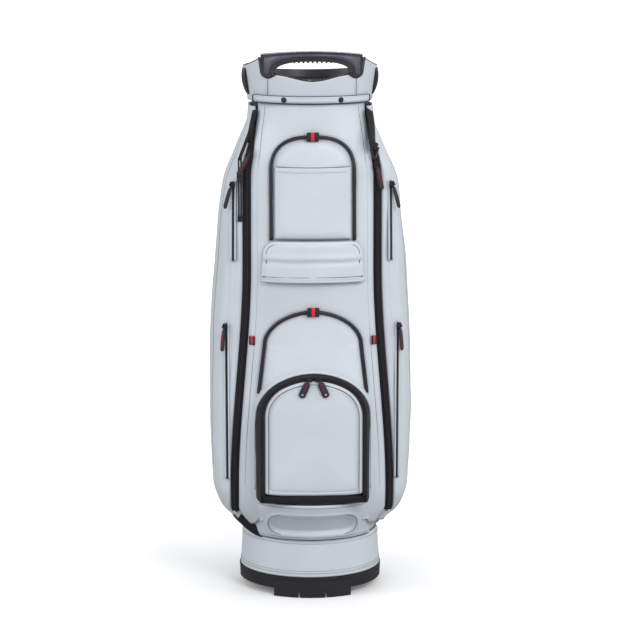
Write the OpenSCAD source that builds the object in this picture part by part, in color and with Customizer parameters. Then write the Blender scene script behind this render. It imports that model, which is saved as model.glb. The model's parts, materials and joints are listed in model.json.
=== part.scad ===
// Golf cart bag with a 14-way divider top, a moulded lift handle, zipped side pockets and a rubber trolley foot.
// Millimetres, +Z up. The origin is the centre of the foot on the ground, and the pockets face -Y.

/* [Overall] */
// Height from the ground to the top of the lift handle
overall_h = 915; // [900:5:925]
// Width across the two side pockets
belly_w = 342; // [334:2:350]
// Outside diameter of the rubber foot
foot_d = 242; // [240:1:246]

/* [Structure] */
// Outside diameter of the club tube
tube_d = 194; // [190:1:194]
// Wall of the club tube
tube_wall = 2; // [1.5:0.25:2.5]
// Wall of the leatherette and its foam backing
skin = 2.5; // [2:0.25:3]
// Width of the bars between the club openings
divider_bar = 5; // [4:0.5:6]

/* [Front pockets] */
// How far the zipped pocket's panel stands in front of the tube's centre
panel_depth = 162; // [158:1:166]
// Radius of the zip's top arc, which the sliders follow
zip_arc_r = 118; // [116:1:120]
// Height of the top of the zip
zip_top = 385; // [380:1:388]

/* [Zips] */
// Width of a full zip tape with its teeth
tape_w = 11.6; // [10:0.2:12]
// Length of the front pocket's pullers from eye to tip
puller_len = 31; // [26:1:34]
// Length of the pullers on the long and side zips
long_puller_len = 42; // [36:1:44]

/* [Hidden] */
$fn = 64;

white = [0.80, 0.83, 0.87];
black = [0.09, 0.09, 0.11];
red = [0.80, 0.08, 0.10];
grey = [0.62, 0.64, 0.67];

// heights of the stack, from the ground up
foot_h = 34;
band_top = 98;
neck_top = 124;
skirt_z = 112;
collar_z = overall_h - 87;
divider_z = collar_z + 18;
slot_y = 46;
tube_r = tube_d / 2;
foot_r = foot_d / 2;

function clamp01(t) = min(1, max(0, t));
function smooth(t) = let (c = clamp01(t)) c * c * (3 - 2 * c);

// Plan outline of the padded body at height z. The zips stand at (zip_x, -zip_y), the widest point is
// (half_w, 0) and the back panel's seams are at (back_x, back_y).
back_x = 75;
function zip_x(z) = 108 + 22 * smooth((560 - z) / 380) - 18 * smooth((z - 705) / 125)
    - 18 * smooth((150 - z) / 40);
function zip_y(z) = 92 - 40 * smooth((z - 725) / 103) - 30 * smooth((180 - z) / 80);
function back_y(z) = 108 - 36 * smooth((z - collar_z + 200) / 200) - 20 * smooth((200 - z) / 100);
function front_d(z) = 104 + 24 * smooth((collar_z + 2 - z) / 330) - 12 * smooth((200 - z) / 100);
function rear_d(z) = 104 + 10 * smooth((collar_z - z) / 200) - 2 * smooth((200 - z) / 100);
belly = belly_w / 2;
shoulder_w = 105;
function half_w(z) = z > 185
    ? shoulder_w + 37 * smooth((822 - z) / 135)
        + (belly - 37 - shoulder_w) * sin(90 * clamp01((740 - z) / 376)) - 4 * pow(clamp01((364 - z) / 180), 2)
    : 116 + (belly - 120) * (1 - pow(clamp01((185 - z) / 87), 1.7));

// y of the front skin at x and height z, as a positive depth in front of the centre
function front_depth(x, z) = let (s = clamp01(abs(x) / zip_x(z)))
    zip_y(z) + (front_d(z) - zip_y(z)) * (1 - pow(s, 2.5));
// a point of the side skin: t runs from -90 at the zip to 90 at the back seam
function side_point(t, z, off) = let (
        cx = t < 0 ? zip_x(z) : back_x,
        cy = t < 0 ? zip_y(z) : back_y(z),
        c = pow(abs(cos(t)), 0.8),
        s = pow(abs(sin(t)), 0.8) * (t < 0 ? -1 : 1))
    [cx + (half_w(z) + off - cx) * c, (cy + off) * s];
// t at which the front part of the side skin is at x
function side_t(x, z) = -acos(pow(clamp01((x - zip_x(z)) / (half_w(z) - zip_x(z))), 1.25));

function reversed(list) = [for (i = [len(list) - 1:-1:0]) list[i]];
function at_height(points, z) = [for (p = points) [p[0], p[1], z]];

// A closed solid through plan rings of equal length, each counter-clockwise from above, from the bottom up.
module loft(rings) {
    n = len(rings[0]);
    m = len(rings);
    points = [for (r = rings) each r];
    sides = [for (j = [0:m - 2], i = [0:n - 1])
        let (a = j * n + i, b = j * n + (i + 1) % n)
        each [[a, a + n, b + n], [a, b + n, b]]];
    caps = [for (i = [0:floor(n / 2) - 2]) each [[i, i + 1, n - 2 - i], [i, n - 2 - i, n - 1 - i]],
        if (n % 2 == 1) [(n - 3) / 2, (n - 1) / 2, (n + 1) / 2]];
    last = [for (c = caps) [for (k = [2:-1:0]) (m - 1) * n + c[k]]];
    polyhedron(points, concat(sides, caps, last));
}

// A solid of constant section swept along path. The section's x lies across, in the plane normal to the
// path and to `face`, and its y lies along `face`.
module sweep(path, section, face) {
    m = len(path);
    loft([for (j = [0:m - 1]) let (
            d = path[min(j + 1, m - 1)] - path[max(j - 1, 0)],
            t = d / norm(d),
            side = cross(t, face) / norm(cross(t, face)),
            up = cross(side, t))
        [for (p = section) path[j] + side * p[0] + up * p[1]]]);
}

function round_section(r, n = 8) = [for (i = [0:n - 1]) r * [cos(360 * i / n), -sin(360 * i / n)]];
function flat_section(w, t) = [[-w / 2, -t / 2], [-w / 2, t / 2], [w / 2, t / 2], [w / 2, -t / 2]];

// ---------------------------------------------------------------- base

foot_under = 13;
foot_floor = 17;
screw_ring = 84;

module screw_places() {
    for (i = [0:3]) rotate(45 + 90 * i) translate([screw_ring, 0, 0]) children();
}

module foot_block(angle, half_angle, height) {
    rotate(angle - half_angle) rotate_extrude(angle = 2 * half_angle)
        translate([foot_r - 24, 0]) square([25.5, height]);
}

// A ring with its underside off the ground, one wide notched lug in front and three smaller ones behind.
module foot() {
    lug_x = 22.7;
    rear_lugs = [35, 90, 145];
    color(black) difference() {
        union() {
            translate([0, 0, foot_under]) cylinder(r1 = foot_r - 1, r2 = foot_r, h = foot_h - foot_under);
            cylinder(r = 36, h = foot_under + 1);
            foot_block(-90, 32, foot_h - 6);
            for (angle = rear_lugs) foot_block(angle, 14, foot_floor);
        }
        translate([0, 0, foot_floor]) cylinder(r = foot_r - 7, h = foot_h);
        for (x = [-lug_x, lug_x]) translate([x - 2, -foot_r - 5, -1]) cube([4, 45, 9]);
        for (angle = rear_lugs) rotate(angle) translate([foot_r - 30, -2, -1]) cube([40, 4, 7]);
        screw_places() translate([0, 0, -1]) cylinder(r = 2.3, h = foot_h);
    }
}

module base_cup() {
    wall = 4;
    outer = foot_r - 5.5;
    color(black) difference() {
        rotate_extrude() polygon([[0, foot_floor + 0.2], [foot_r - 7.5, foot_floor + 0.2],
            [foot_r - 7.5, foot_h + 0.3], [outer, foot_h + 0.3], [outer - 4, band_top], [0, band_top]]);
        rotate_extrude() polygon([[0, foot_floor + 5], [tube_r + 0.4, foot_floor + 5], [tube_r + 0.4, 60],
            [outer - 4 - wall, 74], [outer - 4 - wall, band_top + 1], [0, band_top + 1]]);
        screw_places() translate([0, 0, foot_floor - 1]) cylinder(r = 2.05, h = 20);
    }
}

module base_screws() {
    color(grey) screw_places() {
        translate([0, 0, foot_under - 3.5]) cylinder(r = 4.5, h = 3.4);
        translate([0, 0, foot_under - 0.1]) cylinder(r = 2, h = 9.5);
    }
}

// The leatherette cuff around the cup, slightly wider at the foot.
module base_band() {
    inner = foot_r - 5.3;
    color(white) rotate_extrude() polygon([[inner, foot_h + 0.3], [inner + 3.2, foot_h + 0.3],
        [inner - 0.8, band_top], [inner - 4 + 0.1, band_top]]);
}

module base_neck() {
    color(white) translate([0, 0, band_top + 0.2]) difference() {
        cylinder(r1 = foot_r - 9.5, r2 = foot_r - 11, h = neck_top - band_top);
        translate([0, 0, -1]) cylinder(r = foot_r - 14.5, h = 40);
    }
}

// ---------------------------------------------------------------- tube and dividers

module main_tube() {
    bottom = foot_floor + 5.2;
    color(black) translate([0, 0, bottom]) difference() {
        cylinder(r = tube_r, h = divider_z - bottom);
        translate([0, 0, -1]) cylinder(r = tube_r - tube_wall, h = overall_h);
    }
}

// Flat bars that hold the top at its height, against the back of the tube.
module spine_stays() {
    color(grey) for (angle = [60, 120]) rotate(angle)
        translate([tube_r + 0.1, -11, band_top - 20]) cube([2.5, 22, collar_z - band_top + 18]);
}

divider_r = tube_r - tube_wall - 0.4;
function chord(y, r) = 2 * sqrt(r * r - y * y);

// Fabric partitions from the divider top to the base, one flat panel for each straight run.
module club_dividers() {
    cloth = 1.2;
    bottom = 24;
    top = divider_z - 13;
    r = divider_r - 0.6;
    color(black) {
        for (y = [-slot_y, 0, slot_y])
            translate([-chord(abs(y) + cloth, r) / 2, y - cloth / 2, bottom])
                cube([chord(abs(y) + cloth, r), cloth, top - bottom]);
        for (side = [-1, 1], x = [-47, 0, 47])
            translate([x - cloth / 2, side * slot_y / 2 - (slot_y - 2) / 2, bottom])
                cube([cloth, slot_y - 2, top - bottom]);
        for (side = [-1, 1], x = [-27, 27]) {
            reach = chord(abs(x) + cloth, r) / 2 - slot_y - 1;
            translate([x - cloth / 2, side > 0 ? slot_y + 1 : -slot_y - 1 - reach, bottom])
                cube([cloth, reach, top - bottom]);
        }
    }
}

// Plan shapes of the 14 openings, each kept inside the rim.
module club_openings() {
    gap = divider_bar / 2;
    rim = divider_r - 4;
    intersection() {
        circle(r = rim);
        union() {
            for (side = [-1, 1]) {
                for (x = [[-95, -47], [-47, 0], [0, 47], [47, 95]])
                    opening(x[0] + gap, x[1] - gap, side > 0 ? gap : -slot_y + gap,
                        side > 0 ? slot_y - gap : -gap);
                for (x = [[-85, -27], [-27, 27], [27, 85]])
                    opening(x[0] + gap, x[1] - gap, side > 0 ? slot_y + gap : -95,
                        side > 0 ? 95 : -slot_y - gap);
            }
        }
    }
}

// a rectangle with rounded corners
module opening(x0, x1, y0, y1, r = 6) {
    translate([x0 + r, y0]) square([x1 - x0 - 2 * r, y1 - y0]);
    translate([x0, y0 + r]) square([x1 - x0, y1 - y0 - 2 * r]);
    for (x = [x0 + r, x1 - r], y = [y0 + r, y1 - r]) translate([x, y]) circle(r = r);
}

module divider_top() {
    color(black) difference() {
        union() {
            translate([0, 0, divider_z - 12]) cylinder(r = divider_r, h = 14);
            translate([0, 0, divider_z + 0.2]) cylinder(r = 99.6, h = 11.8);
        }
        translate([0, 0, divider_z - 20]) linear_extrude(40) club_openings();
    }
}

// ---------------------------------------------------------------- collar

collar_base = collar_z + 2;
collar_flare = 0.139;
function collar_r(z) = 104.5 + (z - collar_base) * collar_flare;
scoop_half = 62;
notch_x = 73;
notch_r = 11;
notch_z = collar_base + 53;
peak_z = overall_h - 11;
side_top = peak_z - 17;
rear_top = overall_h - 46;

// Everything above the collar's top edge: the front scoop, the two handle notches and the slopes behind.
module above_collar() {
    sky = overall_h + 40;
    scoop_z = collar_base + 36;
    steps = 20;
    rotate([90, 0, 0]) linear_extrude(160) {
        polygon(concat([for (i = [-steps:steps]) let (x = scoop_half * i / steps)
            [x, scoop_z + 5 * (1 - cos(180 * i / steps))]], [[scoop_half, sky], [-scoop_half, sky]]));
        for (side = [-1, 1]) {
            translate([side * notch_x, notch_z]) circle(r = notch_r);
            translate([side * notch_x - notch_r, notch_z]) square([2 * notch_r, 100]);
            polygon([[side * (notch_x + notch_r - 1), peak_z], [side * 140, side_top - 17.5],
                [side * 140, sky], [side * (notch_x + notch_r - 1), sky]]);
        }
    }
    rotate([90, 0, 90]) translate([0, 0, -160]) linear_extrude(320)
        polygon([[-0.01, side_top], [130, rear_top - 2], [130, sky], [-0.01, sky]]);
}

module collar_moulding() {
    color(black) difference() {
        rotate_extrude() polygon([[100, collar_base], [collar_r(collar_base) - skin - 0.1, collar_base],
            [collar_r(overall_h) - skin - 0.1, overall_h], [collar_r(overall_h) - 6.5, overall_h],
            [100, divider_z + 14]]);
        above_collar();
    }
}

module collar_cover() {
    color(white) difference() {
        rotate_extrude() polygon([[collar_r(collar_base) - skin, collar_base],
            [collar_r(collar_base), collar_base], [collar_r(overall_h), overall_h],
            [collar_r(overall_h) - skin, overall_h]]);
        above_collar();
    }
}

belt_r = collar_r(collar_base) + 4;
snap_z = collar_base + 5.5;

module collar_belt() {
    half_angle = 64;
    color(white) rotate(-90 - half_angle) rotate_extrude(angle = 2 * half_angle)
        polygon([[collar_r(collar_base) + 0.2, collar_base], [belt_r, collar_base],
            [belt_r, collar_base + 11], [collar_r(collar_base + 11) + 0.2, collar_base + 11]]);
}

// Press studs for the rain hood: two on the belt in front, two on the collar behind.
module hood_snaps() {
    color(black) for (place = [[-115.4, belt_r], [-64.6, belt_r], [64.6, collar_r(snap_z) + 1],
            [115.4, collar_r(snap_z) + 1]])
        rotate(place[0]) translate([place[1] + 0.1, 0, snap_z]) rotate([0, 90, 0]) {
            cylinder(r = 4.6, h = 1.4);
            translate([0, 0, 1.4]) cylinder(r1 = 4.6, r2 = 3, h = 1);
        }
}

// ---------------------------------------------------------------- lift handle and side grips

grip_base = collar_base + 44;
handle_rear = 46;

// The underside of the grip, as a half superellipse of half-width w and height h.
function grip_arch(w, h, steps = 18) = [for (i = [0:steps]) let (a = 180 * i / steps)
    [w * pow(abs(cos(a)), 0.77) * (cos(a) < 0 ? -1 : 1), grip_base + h * pow(sin(a), 0.77)]];

module handle_outline() {
    half = notch_x + notch_r - 0.3;
    steps = 12;
    difference() {
        polygon(concat(
            [for (i = [-steps:steps]) let (x = half * i / steps) [x, overall_h - 7 * pow(x / half, 2)]],
            [for (side = [1, -1], i = [0:steps]) let (a = -180 * i / steps)
                [side * notch_x + (notch_r - 0.3) * cos(a), notch_z + (notch_r - 0.3) * sin(a)]]));
        polygon(concat(grip_arch(67.5, 28.5), [[-67.5, grip_base - 30], [67.5, grip_base - 30]]));
    }
}

module curved_wall(inner, outer) {
    difference() {
        cylinder(r = outer, h = overall_h + 40);
        translate([0, 0, -1]) cylinder(r = inner, h = overall_h + 80);
    }
}

module handle_moulding() {
    color(black) intersection() {
        along_y(handle_rear, 160) handle_outline();
        curved_wall(86, collar_r(notch_z) + 1.5);
    }
}

// Soft overmould under the bar, with finger ribs.
module handle_grip() {
    pitch = 7.5;
    color(black) intersection() {
        along_y(handle_rear, 160) {
            difference() {
                polygon(grip_arch(67.4, 28.4));
                polygon(grip_arch(64, 25));
                translate([-80, grip_base - 30]) square([160, 39.5]);
            }
            for (i = [-5:5]) translate([i * pitch, grip_base + 23.9]) circle(r = 1.7, $fn = 24);
        }
        curved_wall(85, collar_r(notch_z) + 2.5);
    }
}

module handle_screws() {
    color(grey) for (side = [-1, 1]) rotate(-90 + side * 61)
        translate([85.4, 0, notch_z]) rotate([0, -90, 0]) cylinder(r = 3.4, h = 2.2);
}

// Moulded finger pulls on both flanks of the collar.
module side_grips() {
    low = collar_base + 10;
    high = collar_base + 53;
    steps = 10;
    spread = 32;
    profile = concat(
        [for (i = [0:steps]) let (z = low + (high - low) * i / steps)
            [collar_r(z) + 1.2 + 4.3 * pow(sin(180 * i / steps), 0.8), z]],
        [[collar_r(high) + 0.2, high], [collar_r(low) + 0.2, low]]);
    color(black) for (angle = [0, 180]) rotate(angle - spread / 2)
        rotate_extrude(angle = spread) polygon(profile);
}

// ---------------------------------------------------------------- padded body

tape_line = tape_w / 2;
function zip_half(z) = tape_line - (tape_line - 1.5) * smooth((z - 735) / 60);
zip_gap = 0.4;
boot_edge = 100;
function levels(low, high, n) = [for (i = [0:n]) low + (high - low) * i / n];
// one list of heights for the skins and the zip tapes between them, so that their edges run parallel
body_levels = concat([neck_top + 1, neck_top + 10, neck_top + 20, neck_top + 31], levels(168, collar_z, 24));
function short_of_top(list) = [for (i = [0:len(list) - 2]) list[i]];

function edge_x(z) = zip_x(z) - zip_half(z) - zip_gap;
// ring of the front skin between x0 and x1
function skin_ring(x0, x1, z, n = 12) = let (xs = [for (i = [0:n]) x0 + (x1 - x0) * i / n])
    concat([for (x = xs) [x, -front_depth(x, z), z]],
        reversed([for (x = xs) [x * (1 - skin / edge_x(z)), -front_depth(x, z) + skin, z]]));

// The zipped pocket's wall widens by `flare` towards the body. The front cover and the ball pocket part
// round it at the height `split`.
flare = 7;
split = zip_top + flare + 1.5;

// The column above the zipped pocket, and a strip down each side of it.
module front_cover() {
    strip_levels = concat([for (z = body_levels) if (z < 335) z], [346, 358, 368, 376, 382, 387, 390.5, split - 0.8]);
    color(white) {
        loft([for (z = concat([split], [for (z = body_levels) if (z > 400) z])) skin_ring(-edge_x(z), edge_x(z), z)]);
        for (side = [0, 1]) mirror([side, 0, 0])
            loft([for (z = strip_levels) skin_ring(max(boot_edge, arch_x(z, flare + 0.8)), edge_x(z), z, 6)]);
    }
}

function side_ring(z, n = 16) = let (
        t0 = side_t(zip_x(z) + zip_half(z) + zip_gap, z),
        ts = [for (i = [0:n]) t0 + (89.6 - t0) * i / n])
    concat([for (t = ts) let (p = side_point(t, z, 0)) [p[0], p[1], z]],
        reversed([for (t = ts) let (p = side_point(t, z, -skin)) [p[0], p[1], z]]));

module side_pocket_right() {
    color(white) loft([for (z = concat([skirt_z, skirt_z + 6], short_of_top(body_levels), [collar_z - 6]))
        side_ring(z)]);
}

module side_pocket_left() {
    mirror([1, 0, 0]) side_pocket_right();
}

function back_ring(z, n = 8) = let (
        xs = [for (i = [0:n]) (back_x - 1) * (1 - 2 * i / n)],
        ys = [for (x = xs) back_y(z) + (rear_d(z) - back_y(z)) * (1 - pow(abs(x) / back_x, 2.5))])
    concat([for (i = [0:n]) [xs[i], ys[i], z]],
        reversed([for (i = [0:n]) [xs[i], ys[i] - skin, z]]));

module back_panel() {
    color(white) loft([for (z = levels(neck_top + 1, collar_z, 14)) back_ring(z)]);
}

// A pad on the front skin. Each row is [z, half-width, back at the edge, back in the middle, face at the
// edge, face in the middle], with the last four measured outwards from the skin.
function across(edge, middle, s) = edge + (middle - edge) * (1 - pow(s, 4));
module front_pad(rows, n = 10) {
    loft([for (row = rows) let (z = row[0], a = row[1],
            ss = [for (i = [0:n]) 2 * i / n - 1])
        concat([for (s = ss) [s * a, -front_depth(s * a, z) - across(row[4], row[5], s), z]],
            reversed([for (s = ss) [s * a, -front_depth(s * a, z) - across(row[2], row[3], s), z]]))]);
}

// Half-width of an arch that is straight up to `spring` and closes at `top`.
function arch_half(z, half, spring, top, power) = z <= spring ? half
    : half * pow(1 - pow(clamp01((z - spring) / (top - spring)), power), 1 / power);

// heights for an arch, closer together towards its top
function arch_levels(bottom, spring, top, n) = concat(
    levels(bottom, spring, 4),
    [for (i = [1:n]) spring + (top - spring) * sin(84 * i / n)]);

// clearance of a pad from the facets of the skin behind it
lay = 0.7;
upper_bottom = 606;
upper_top = 772;
upper_spring = 715;
upper_half = 65;
function upper_arch(z, grow = 0) = arch_half(z, upper_half + grow, upper_spring, upper_top + grow, 2.6);

module upper_pocket() {
    color(white) front_pad([for (z = arch_levels(upper_bottom, upper_spring, upper_top, 9))
        [z, upper_arch(z), lay, lay, lay + 2.5, lay + 4 + 4 * smooth((upper_top - z) / 60)]]);
}

slip_top = 727;
module slip_panel() {
    color(white) front_pad([for (z = levels(upper_bottom + 4, slip_top, 8))
        [z, min(upper_half - 4, upper_arch(z) - 4), lay + 4.4, lay + 8.5, lay + 6.4, lay + 10.9]]);
}

ball_top = 485;
ball_spring = 432;
ball_bottom = 345;
function ball_arch(z, grow = 0) = z <= ball_spring ? grow + 87 - 10.3 * (z - ball_bottom) / 87
    : arch_half(z, 76.7 + grow, ball_spring, ball_top + grow, 1.9);
function ball_rise(z) = 4 + 13 * smooth((ball_top - z) / 150);

module ball_pocket() {
    color(white) {
        front_pad([for (z = concat([split], arch_levels(split + 8, ball_spring, ball_top, 8)))
            [z, ball_arch(z), lay, lay, lay + 3, lay + ball_rise(z)]]);
        for (side = [0, 1]) mirror([side, 0, 0]) loft([for (z = [366, 374, 381, 387, split - 1]) let (
                x0 = arch_x(z, flare + 0.8), x1 = ball_arch(z), xs = [for (i = [0:4]) x0 + (x1 - x0) * i / 4])
            concat([for (x = xs) [x, -front_depth(x, z) - lay - across(3, ball_rise(z), x / x1), z]],
                reversed([for (x = xs) [x, -front_depth(x, z) - lay, z]]))]);
    }
}

// Round piping on the front skin, from its left foot over the top of an arch to its right foot.
module piping(side) {
    sweep(concat(side, reversed([for (p = side) [-p[0], p[1], p[2]]])), round_section(3), [0, -1, 0]);
}

piping_out = 3.8;
module upper_piping() {
    zs = arch_levels(upper_bottom + 2, upper_spring, upper_top + piping_out, 8);
    piping([for (z = zs) let (x = upper_arch(z, piping_out)) [-x, -front_depth(x, z) - 4.8, z]]);
}

module ball_piping() {
    zs = arch_levels(ball_bottom + 36, ball_spring, ball_top + piping_out, 8);
    piping([for (z = zs) let (x = ball_arch(z, piping_out)) [-x, -front_depth(x, z) - 4.8, z]]);
}

module arch_pipings() {
    color(black) {
        upper_piping();
        ball_piping();
    }
}

// Folded ribbon tabs: one on top of each piping and one beside each long zip.
module ribbon_tabs() {
    color(red) {
        for (z = [upper_top + 4, ball_top + 4])
            translate([-10, -front_depth(0, z) - 10.6, z - 7]) cube([20, 2, 14]);
        for (side = [-1, 1]) translate([side * 101, -front_depth(101, 437) - 2.4, 430])
            rotate(side * 34) translate([-5, -1, 0]) cube([10, 2, 14]);
    }
}

flap_bottom = 538;
flap_top = 602;
function flap_half(z) = 86 - 5 * (z - flap_bottom) / (flap_top - flap_bottom);

module flap_pouch() {
    color(white) front_pad([for (z = levels(flap_bottom + 3, flap_top - 4, 4))
        [z, flap_half(z) - 4, lay, lay, lay + 6, lay + 8]]);
}

module pocket_flap() {
    color(white) front_pad([for (z = levels(flap_bottom, flap_top, 5))
        [z, flap_half(z), lay + 6.5, lay + 8.5, lay + 9, lay + 12]]);
}

// ---------------------------------------------------------------- zipped front pocket

arc_half_angle = 28.5;
corner_r = 60;
arc_z = zip_top - zip_arc_r;
corner_x = (zip_arc_r - corner_r) * sin(arc_half_angle);
corner_z = arc_z + (zip_arc_r - corner_r) * cos(arc_half_angle);
pocket_bottom = 173;
panel_bottom = 184;

// Half of a three-centred arch, from its foot to its top, grown outwards by `grow`.
function half_arch(grow, bottom) = concat([[corner_x + corner_r + grow, bottom]],
    [for (i = [0:6]) let (a = (90 - arc_half_angle) * i / 6)
        [corner_x + (corner_r + grow) * cos(a), corner_z + (corner_r + grow) * sin(a)]],
    [for (i = [1:6]) let (a = arc_half_angle * (1 - i / 6))
        [(zip_arc_r + grow) * sin(a), arc_z + (zip_arc_r + grow) * cos(a)]]);

// half-width of the arch at height z
function arch_x(z, grow) = let (r = corner_r + grow, big = zip_arc_r + grow)
    z <= corner_z ? corner_x + r
    : z < corner_z + r * cos(arc_half_angle) ? corner_x + sqrt(r * r - pow(z - corner_z, 2))
    : sqrt(max(1, big * big - pow(z - arc_z, 2)));
function arch_points(grow, bottom) = let (right = half_arch(grow, bottom))
    concat(right, reversed([for (p = short_of_top(right)) [-p[0], p[1]]]));

module arch_shape(grow, bottom) {
    polygon(arch_points(grow, bottom));
}

module along_y(near, far) {
    translate([0, -near, 0]) rotate([90, 0, 0]) linear_extrude(far - near) children();
}

gusset_rear = 104;
gusset_front = panel_depth - 4;
function flare_at(depth) = flare * (gusset_front - depth) / (gusset_front - gusset_rear);

module flared_arch(grow, rear, front) {
    rotate([90, 0, 0]) loft([for (depth = [rear, front])
        at_height(arch_points(flare_at(depth) + grow, pocket_bottom - grow), depth)]);
}

// Black cloth wall between the body and the zip, closed at the bottom, with the strip the panel folds on.
module zip_gusset() {
    cloth = 2.5;
    color(black) {
        difference() {
            flared_arch(0, gusset_rear, gusset_front);
            flared_arch(-cloth, gusset_rear - 1, gusset_front + 1);
        }
        translate([-85, -gusset_front, pocket_bottom + 1]) cube([170, cloth, panel_bottom - pocket_bottom - 1.4]);
    }
}

module zip_band(outer, inner, near, far) {
    along_y(near, far) difference() {
        arch_shape(outer, panel_bottom);
        arch_shape(inner, panel_bottom - 1);
    }
}

module arch_zip_outer() {
    color(black) zip_band(0, -2.9, panel_depth - 3.9, panel_depth - 1.5);
}

module arch_zip_inner() {
    color(black) zip_band(-3.1, -5.9, panel_depth - 3.9, panel_depth - 1.5);
}

module front_panel() {
    color(white) along_y(panel_depth - 4, panel_depth) arch_shape(-6, panel_bottom);
}

// ---------------------------------------------------------------- boot under the zipped pocket

boot_wall = 4.5;
boot_top = 168;
// distance of the boot's face from the bag's axis, at the fraction s of its half-angle
function boot_r(s, z) = 117.5 + 5 * (z - band_top) / 70
    + 39 * smooth((z - band_top + 6) / 78) * pow(1 - pow(abs(s), 2.2), 0.6);
function boot_angle(z) = 57 - 7 * (z - band_top) / 70;
function boot_point(s, z, out) = let (r = boot_r(s, z) + out, angle = s * boot_angle(z))
    [r * sin(angle), -r * cos(angle), z];
function boot_ring(z, inner, outer, n = 16) = concat(
    [for (i = [0:n]) boot_point(2 * i / n - 1, z, outer)],
    [for (i = [n:-1:0]) boot_point(2 * i / n - 1, z, inner)]);

module boot() {
    color(white) loft([for (z = levels(band_top + 0.3, boot_top, 8)) boot_ring(z, -boot_wall, 0)]);
}

// Oval plate on the boot, over the hollow that a hand reaches into.
module boot_oval() {
    color(white) intersection() {
        loft([for (z = levels(band_top + 4, boot_top - 6, 7)) boot_ring(z, 0.5, 2.2)]);
        along_y(90, 200) translate([0, 127]) intersection() {
            square([150, 37], center = true);
            union() {
                for (x = [-1, 1]) translate([x * 54.5, 0]) circle(r = 18.5);
                square([109, 37], center = true);
            }
        }
    }
}

// ---------------------------------------------------------------- zips

module long_zip() {
    loft([for (z = short_of_top(body_levels)) let (
            x = zip_x(z), y = zip_y(z), w = zip_half(z))
        [[x - w, -y - 2, z], [x + w, -y - 2, z], [x + w, -y + 1, z], [x - w, -y + 1, z]]]);
}

module long_zips() {
    color(black) for (side = [0, 1]) mirror([side, 0, 0]) long_zip();
}

// The two short zips on each side pocket run in straight lines, a little in front of the skin.
side_azimuth = 31;
upper_zip = [[130, -86.2, 701], [131, -90.6, 569]];
lower_zip = [[143, -86.4, 464], [142, -92.8, 200]];

module side_zip(ends) {
    face = [sin(side_azimuth), -cos(side_azimuth), 0];
    sweep([ends[1], ends[0]], flat_section(5, 1.6), face);
}

module side_zips() {
    color(black) for (side = [0, 1]) mirror([side, 0, 0]) {
        side_zip(upper_zip);
        side_zip(lower_zip);
    }
}

bail_lift = 5.8;
bail_r = 0.8;

// A slider in its own frame: the cloth faces -Y, the puller hangs along -Z on the pin, which is on X, and
// the body lies along the zip, which is turned by `zip_turn` from Z.
module zip_slider(zip_turn = 0) {
    color(black) {
        rotate([0, zip_turn, 0]) {
            translate([-2.5, -2, -5.5]) cube([5, 2, 11]);
            translate([-4, -3.6, -5.5]) cube([8, 1.8, 11]);
        }
        for (side = [-1, 1]) translate([side * 2.7 - 0.7, -bail_lift - 1.4, -2]) cube([1.4, 4.4, 4]);
        translate([-3, -bail_lift, 0]) rotate([0, 90, 0]) cylinder(r = bail_r, h = 6);
    }
}

module zip_puller(length) {
    tab_w = 9;
    tab_t = 2;
    color(black) translate([0, -bail_lift, 0]) difference() {
        union() {
            translate([-1.8, 0, 0]) rotate([0, 90, 0]) cylinder(r = 2, h = 3.6);
            translate([-1.5, -tab_t / 2, -7]) cube([3, tab_t, 6]);
            translate([-tab_w / 2, -tab_t / 2, -length + tab_w / 2]) cube([tab_w, tab_t, length - tab_w / 2 - 5.5]);
            translate([0, tab_t / 2, -length + tab_w / 2]) rotate([90, 0, 0]) cylinder(r = tab_w / 2, h = tab_t);
        }
        translate([-3, 0, 0]) rotate([0, 90, 0]) cylinder(r = bail_r + 0.08, h = 6);
    }
}

// place, azimuth of the cloth's normal, and lean of the puller, as on the right-hand side of the bag
arch_step = 4;
arch_lean = -24;
arch_at = [[(zip_arc_r - 3) * sin(arch_step), 1.5 - panel_depth,
    arc_z + (zip_arc_r - 3) * cos(arch_step)], 0, arch_lean];
long_left_at = [[zip_x(748) + 0.3, -94.3, 748], 0, -28];
long_right_at = [[zip_x(728), -94.3, 728], 0, -12];
off_tape = 1.3 * [sin(side_azimuth), -cos(side_azimuth), 0];
upper_at = [upper_zip[0] + off_tape - [0, 0, 6], side_azimuth, -18];
lower_at = [lower_zip[0] + off_tape - [0, 0, 6], side_azimuth, -6];

module on_zip(at) {
    translate(at[0]) rotate([0, at[2], at[1]]) children();
}

module on_left(at) {
    mirror([1, 0, 0]) on_zip(at) children();
}

// ---------------------------------------------------------------- webbing, ring, cord and strap

web_azimuth = 50;
web_face = [sin(web_azimuth), -cos(web_azimuth), 0];
web_across = [cos(web_azimuth), sin(web_azimuth), 0];
ring_bar = [102.6, -98.6, 756];
ring_w = 22;
web_path = [[102.6, -98.6, 758.4], [98.8, -95.4, 768], [98.5, -76, 789], [96.6, -59.4, 812]];

module along_ring_bar(length, r) {
    translate(ring_bar - length / 2 * web_across) rotate([0, 90, web_azimuth]) cylinder(r = r, h = length);
}

module accessory_webbing() {
    color(black) {
        difference() {
            union() {
                sweep(web_path, flat_section(18, 2), web_face);
                along_ring_bar(10, 3.4);
            }
            along_ring_bar(24, 1.7);
        }
        sweep([[-101, -71.5, 782], [-94.5, -58.5, 812]], flat_section(12, 2), [-web_face[0], web_face[1], 0]);
    }
}

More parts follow.
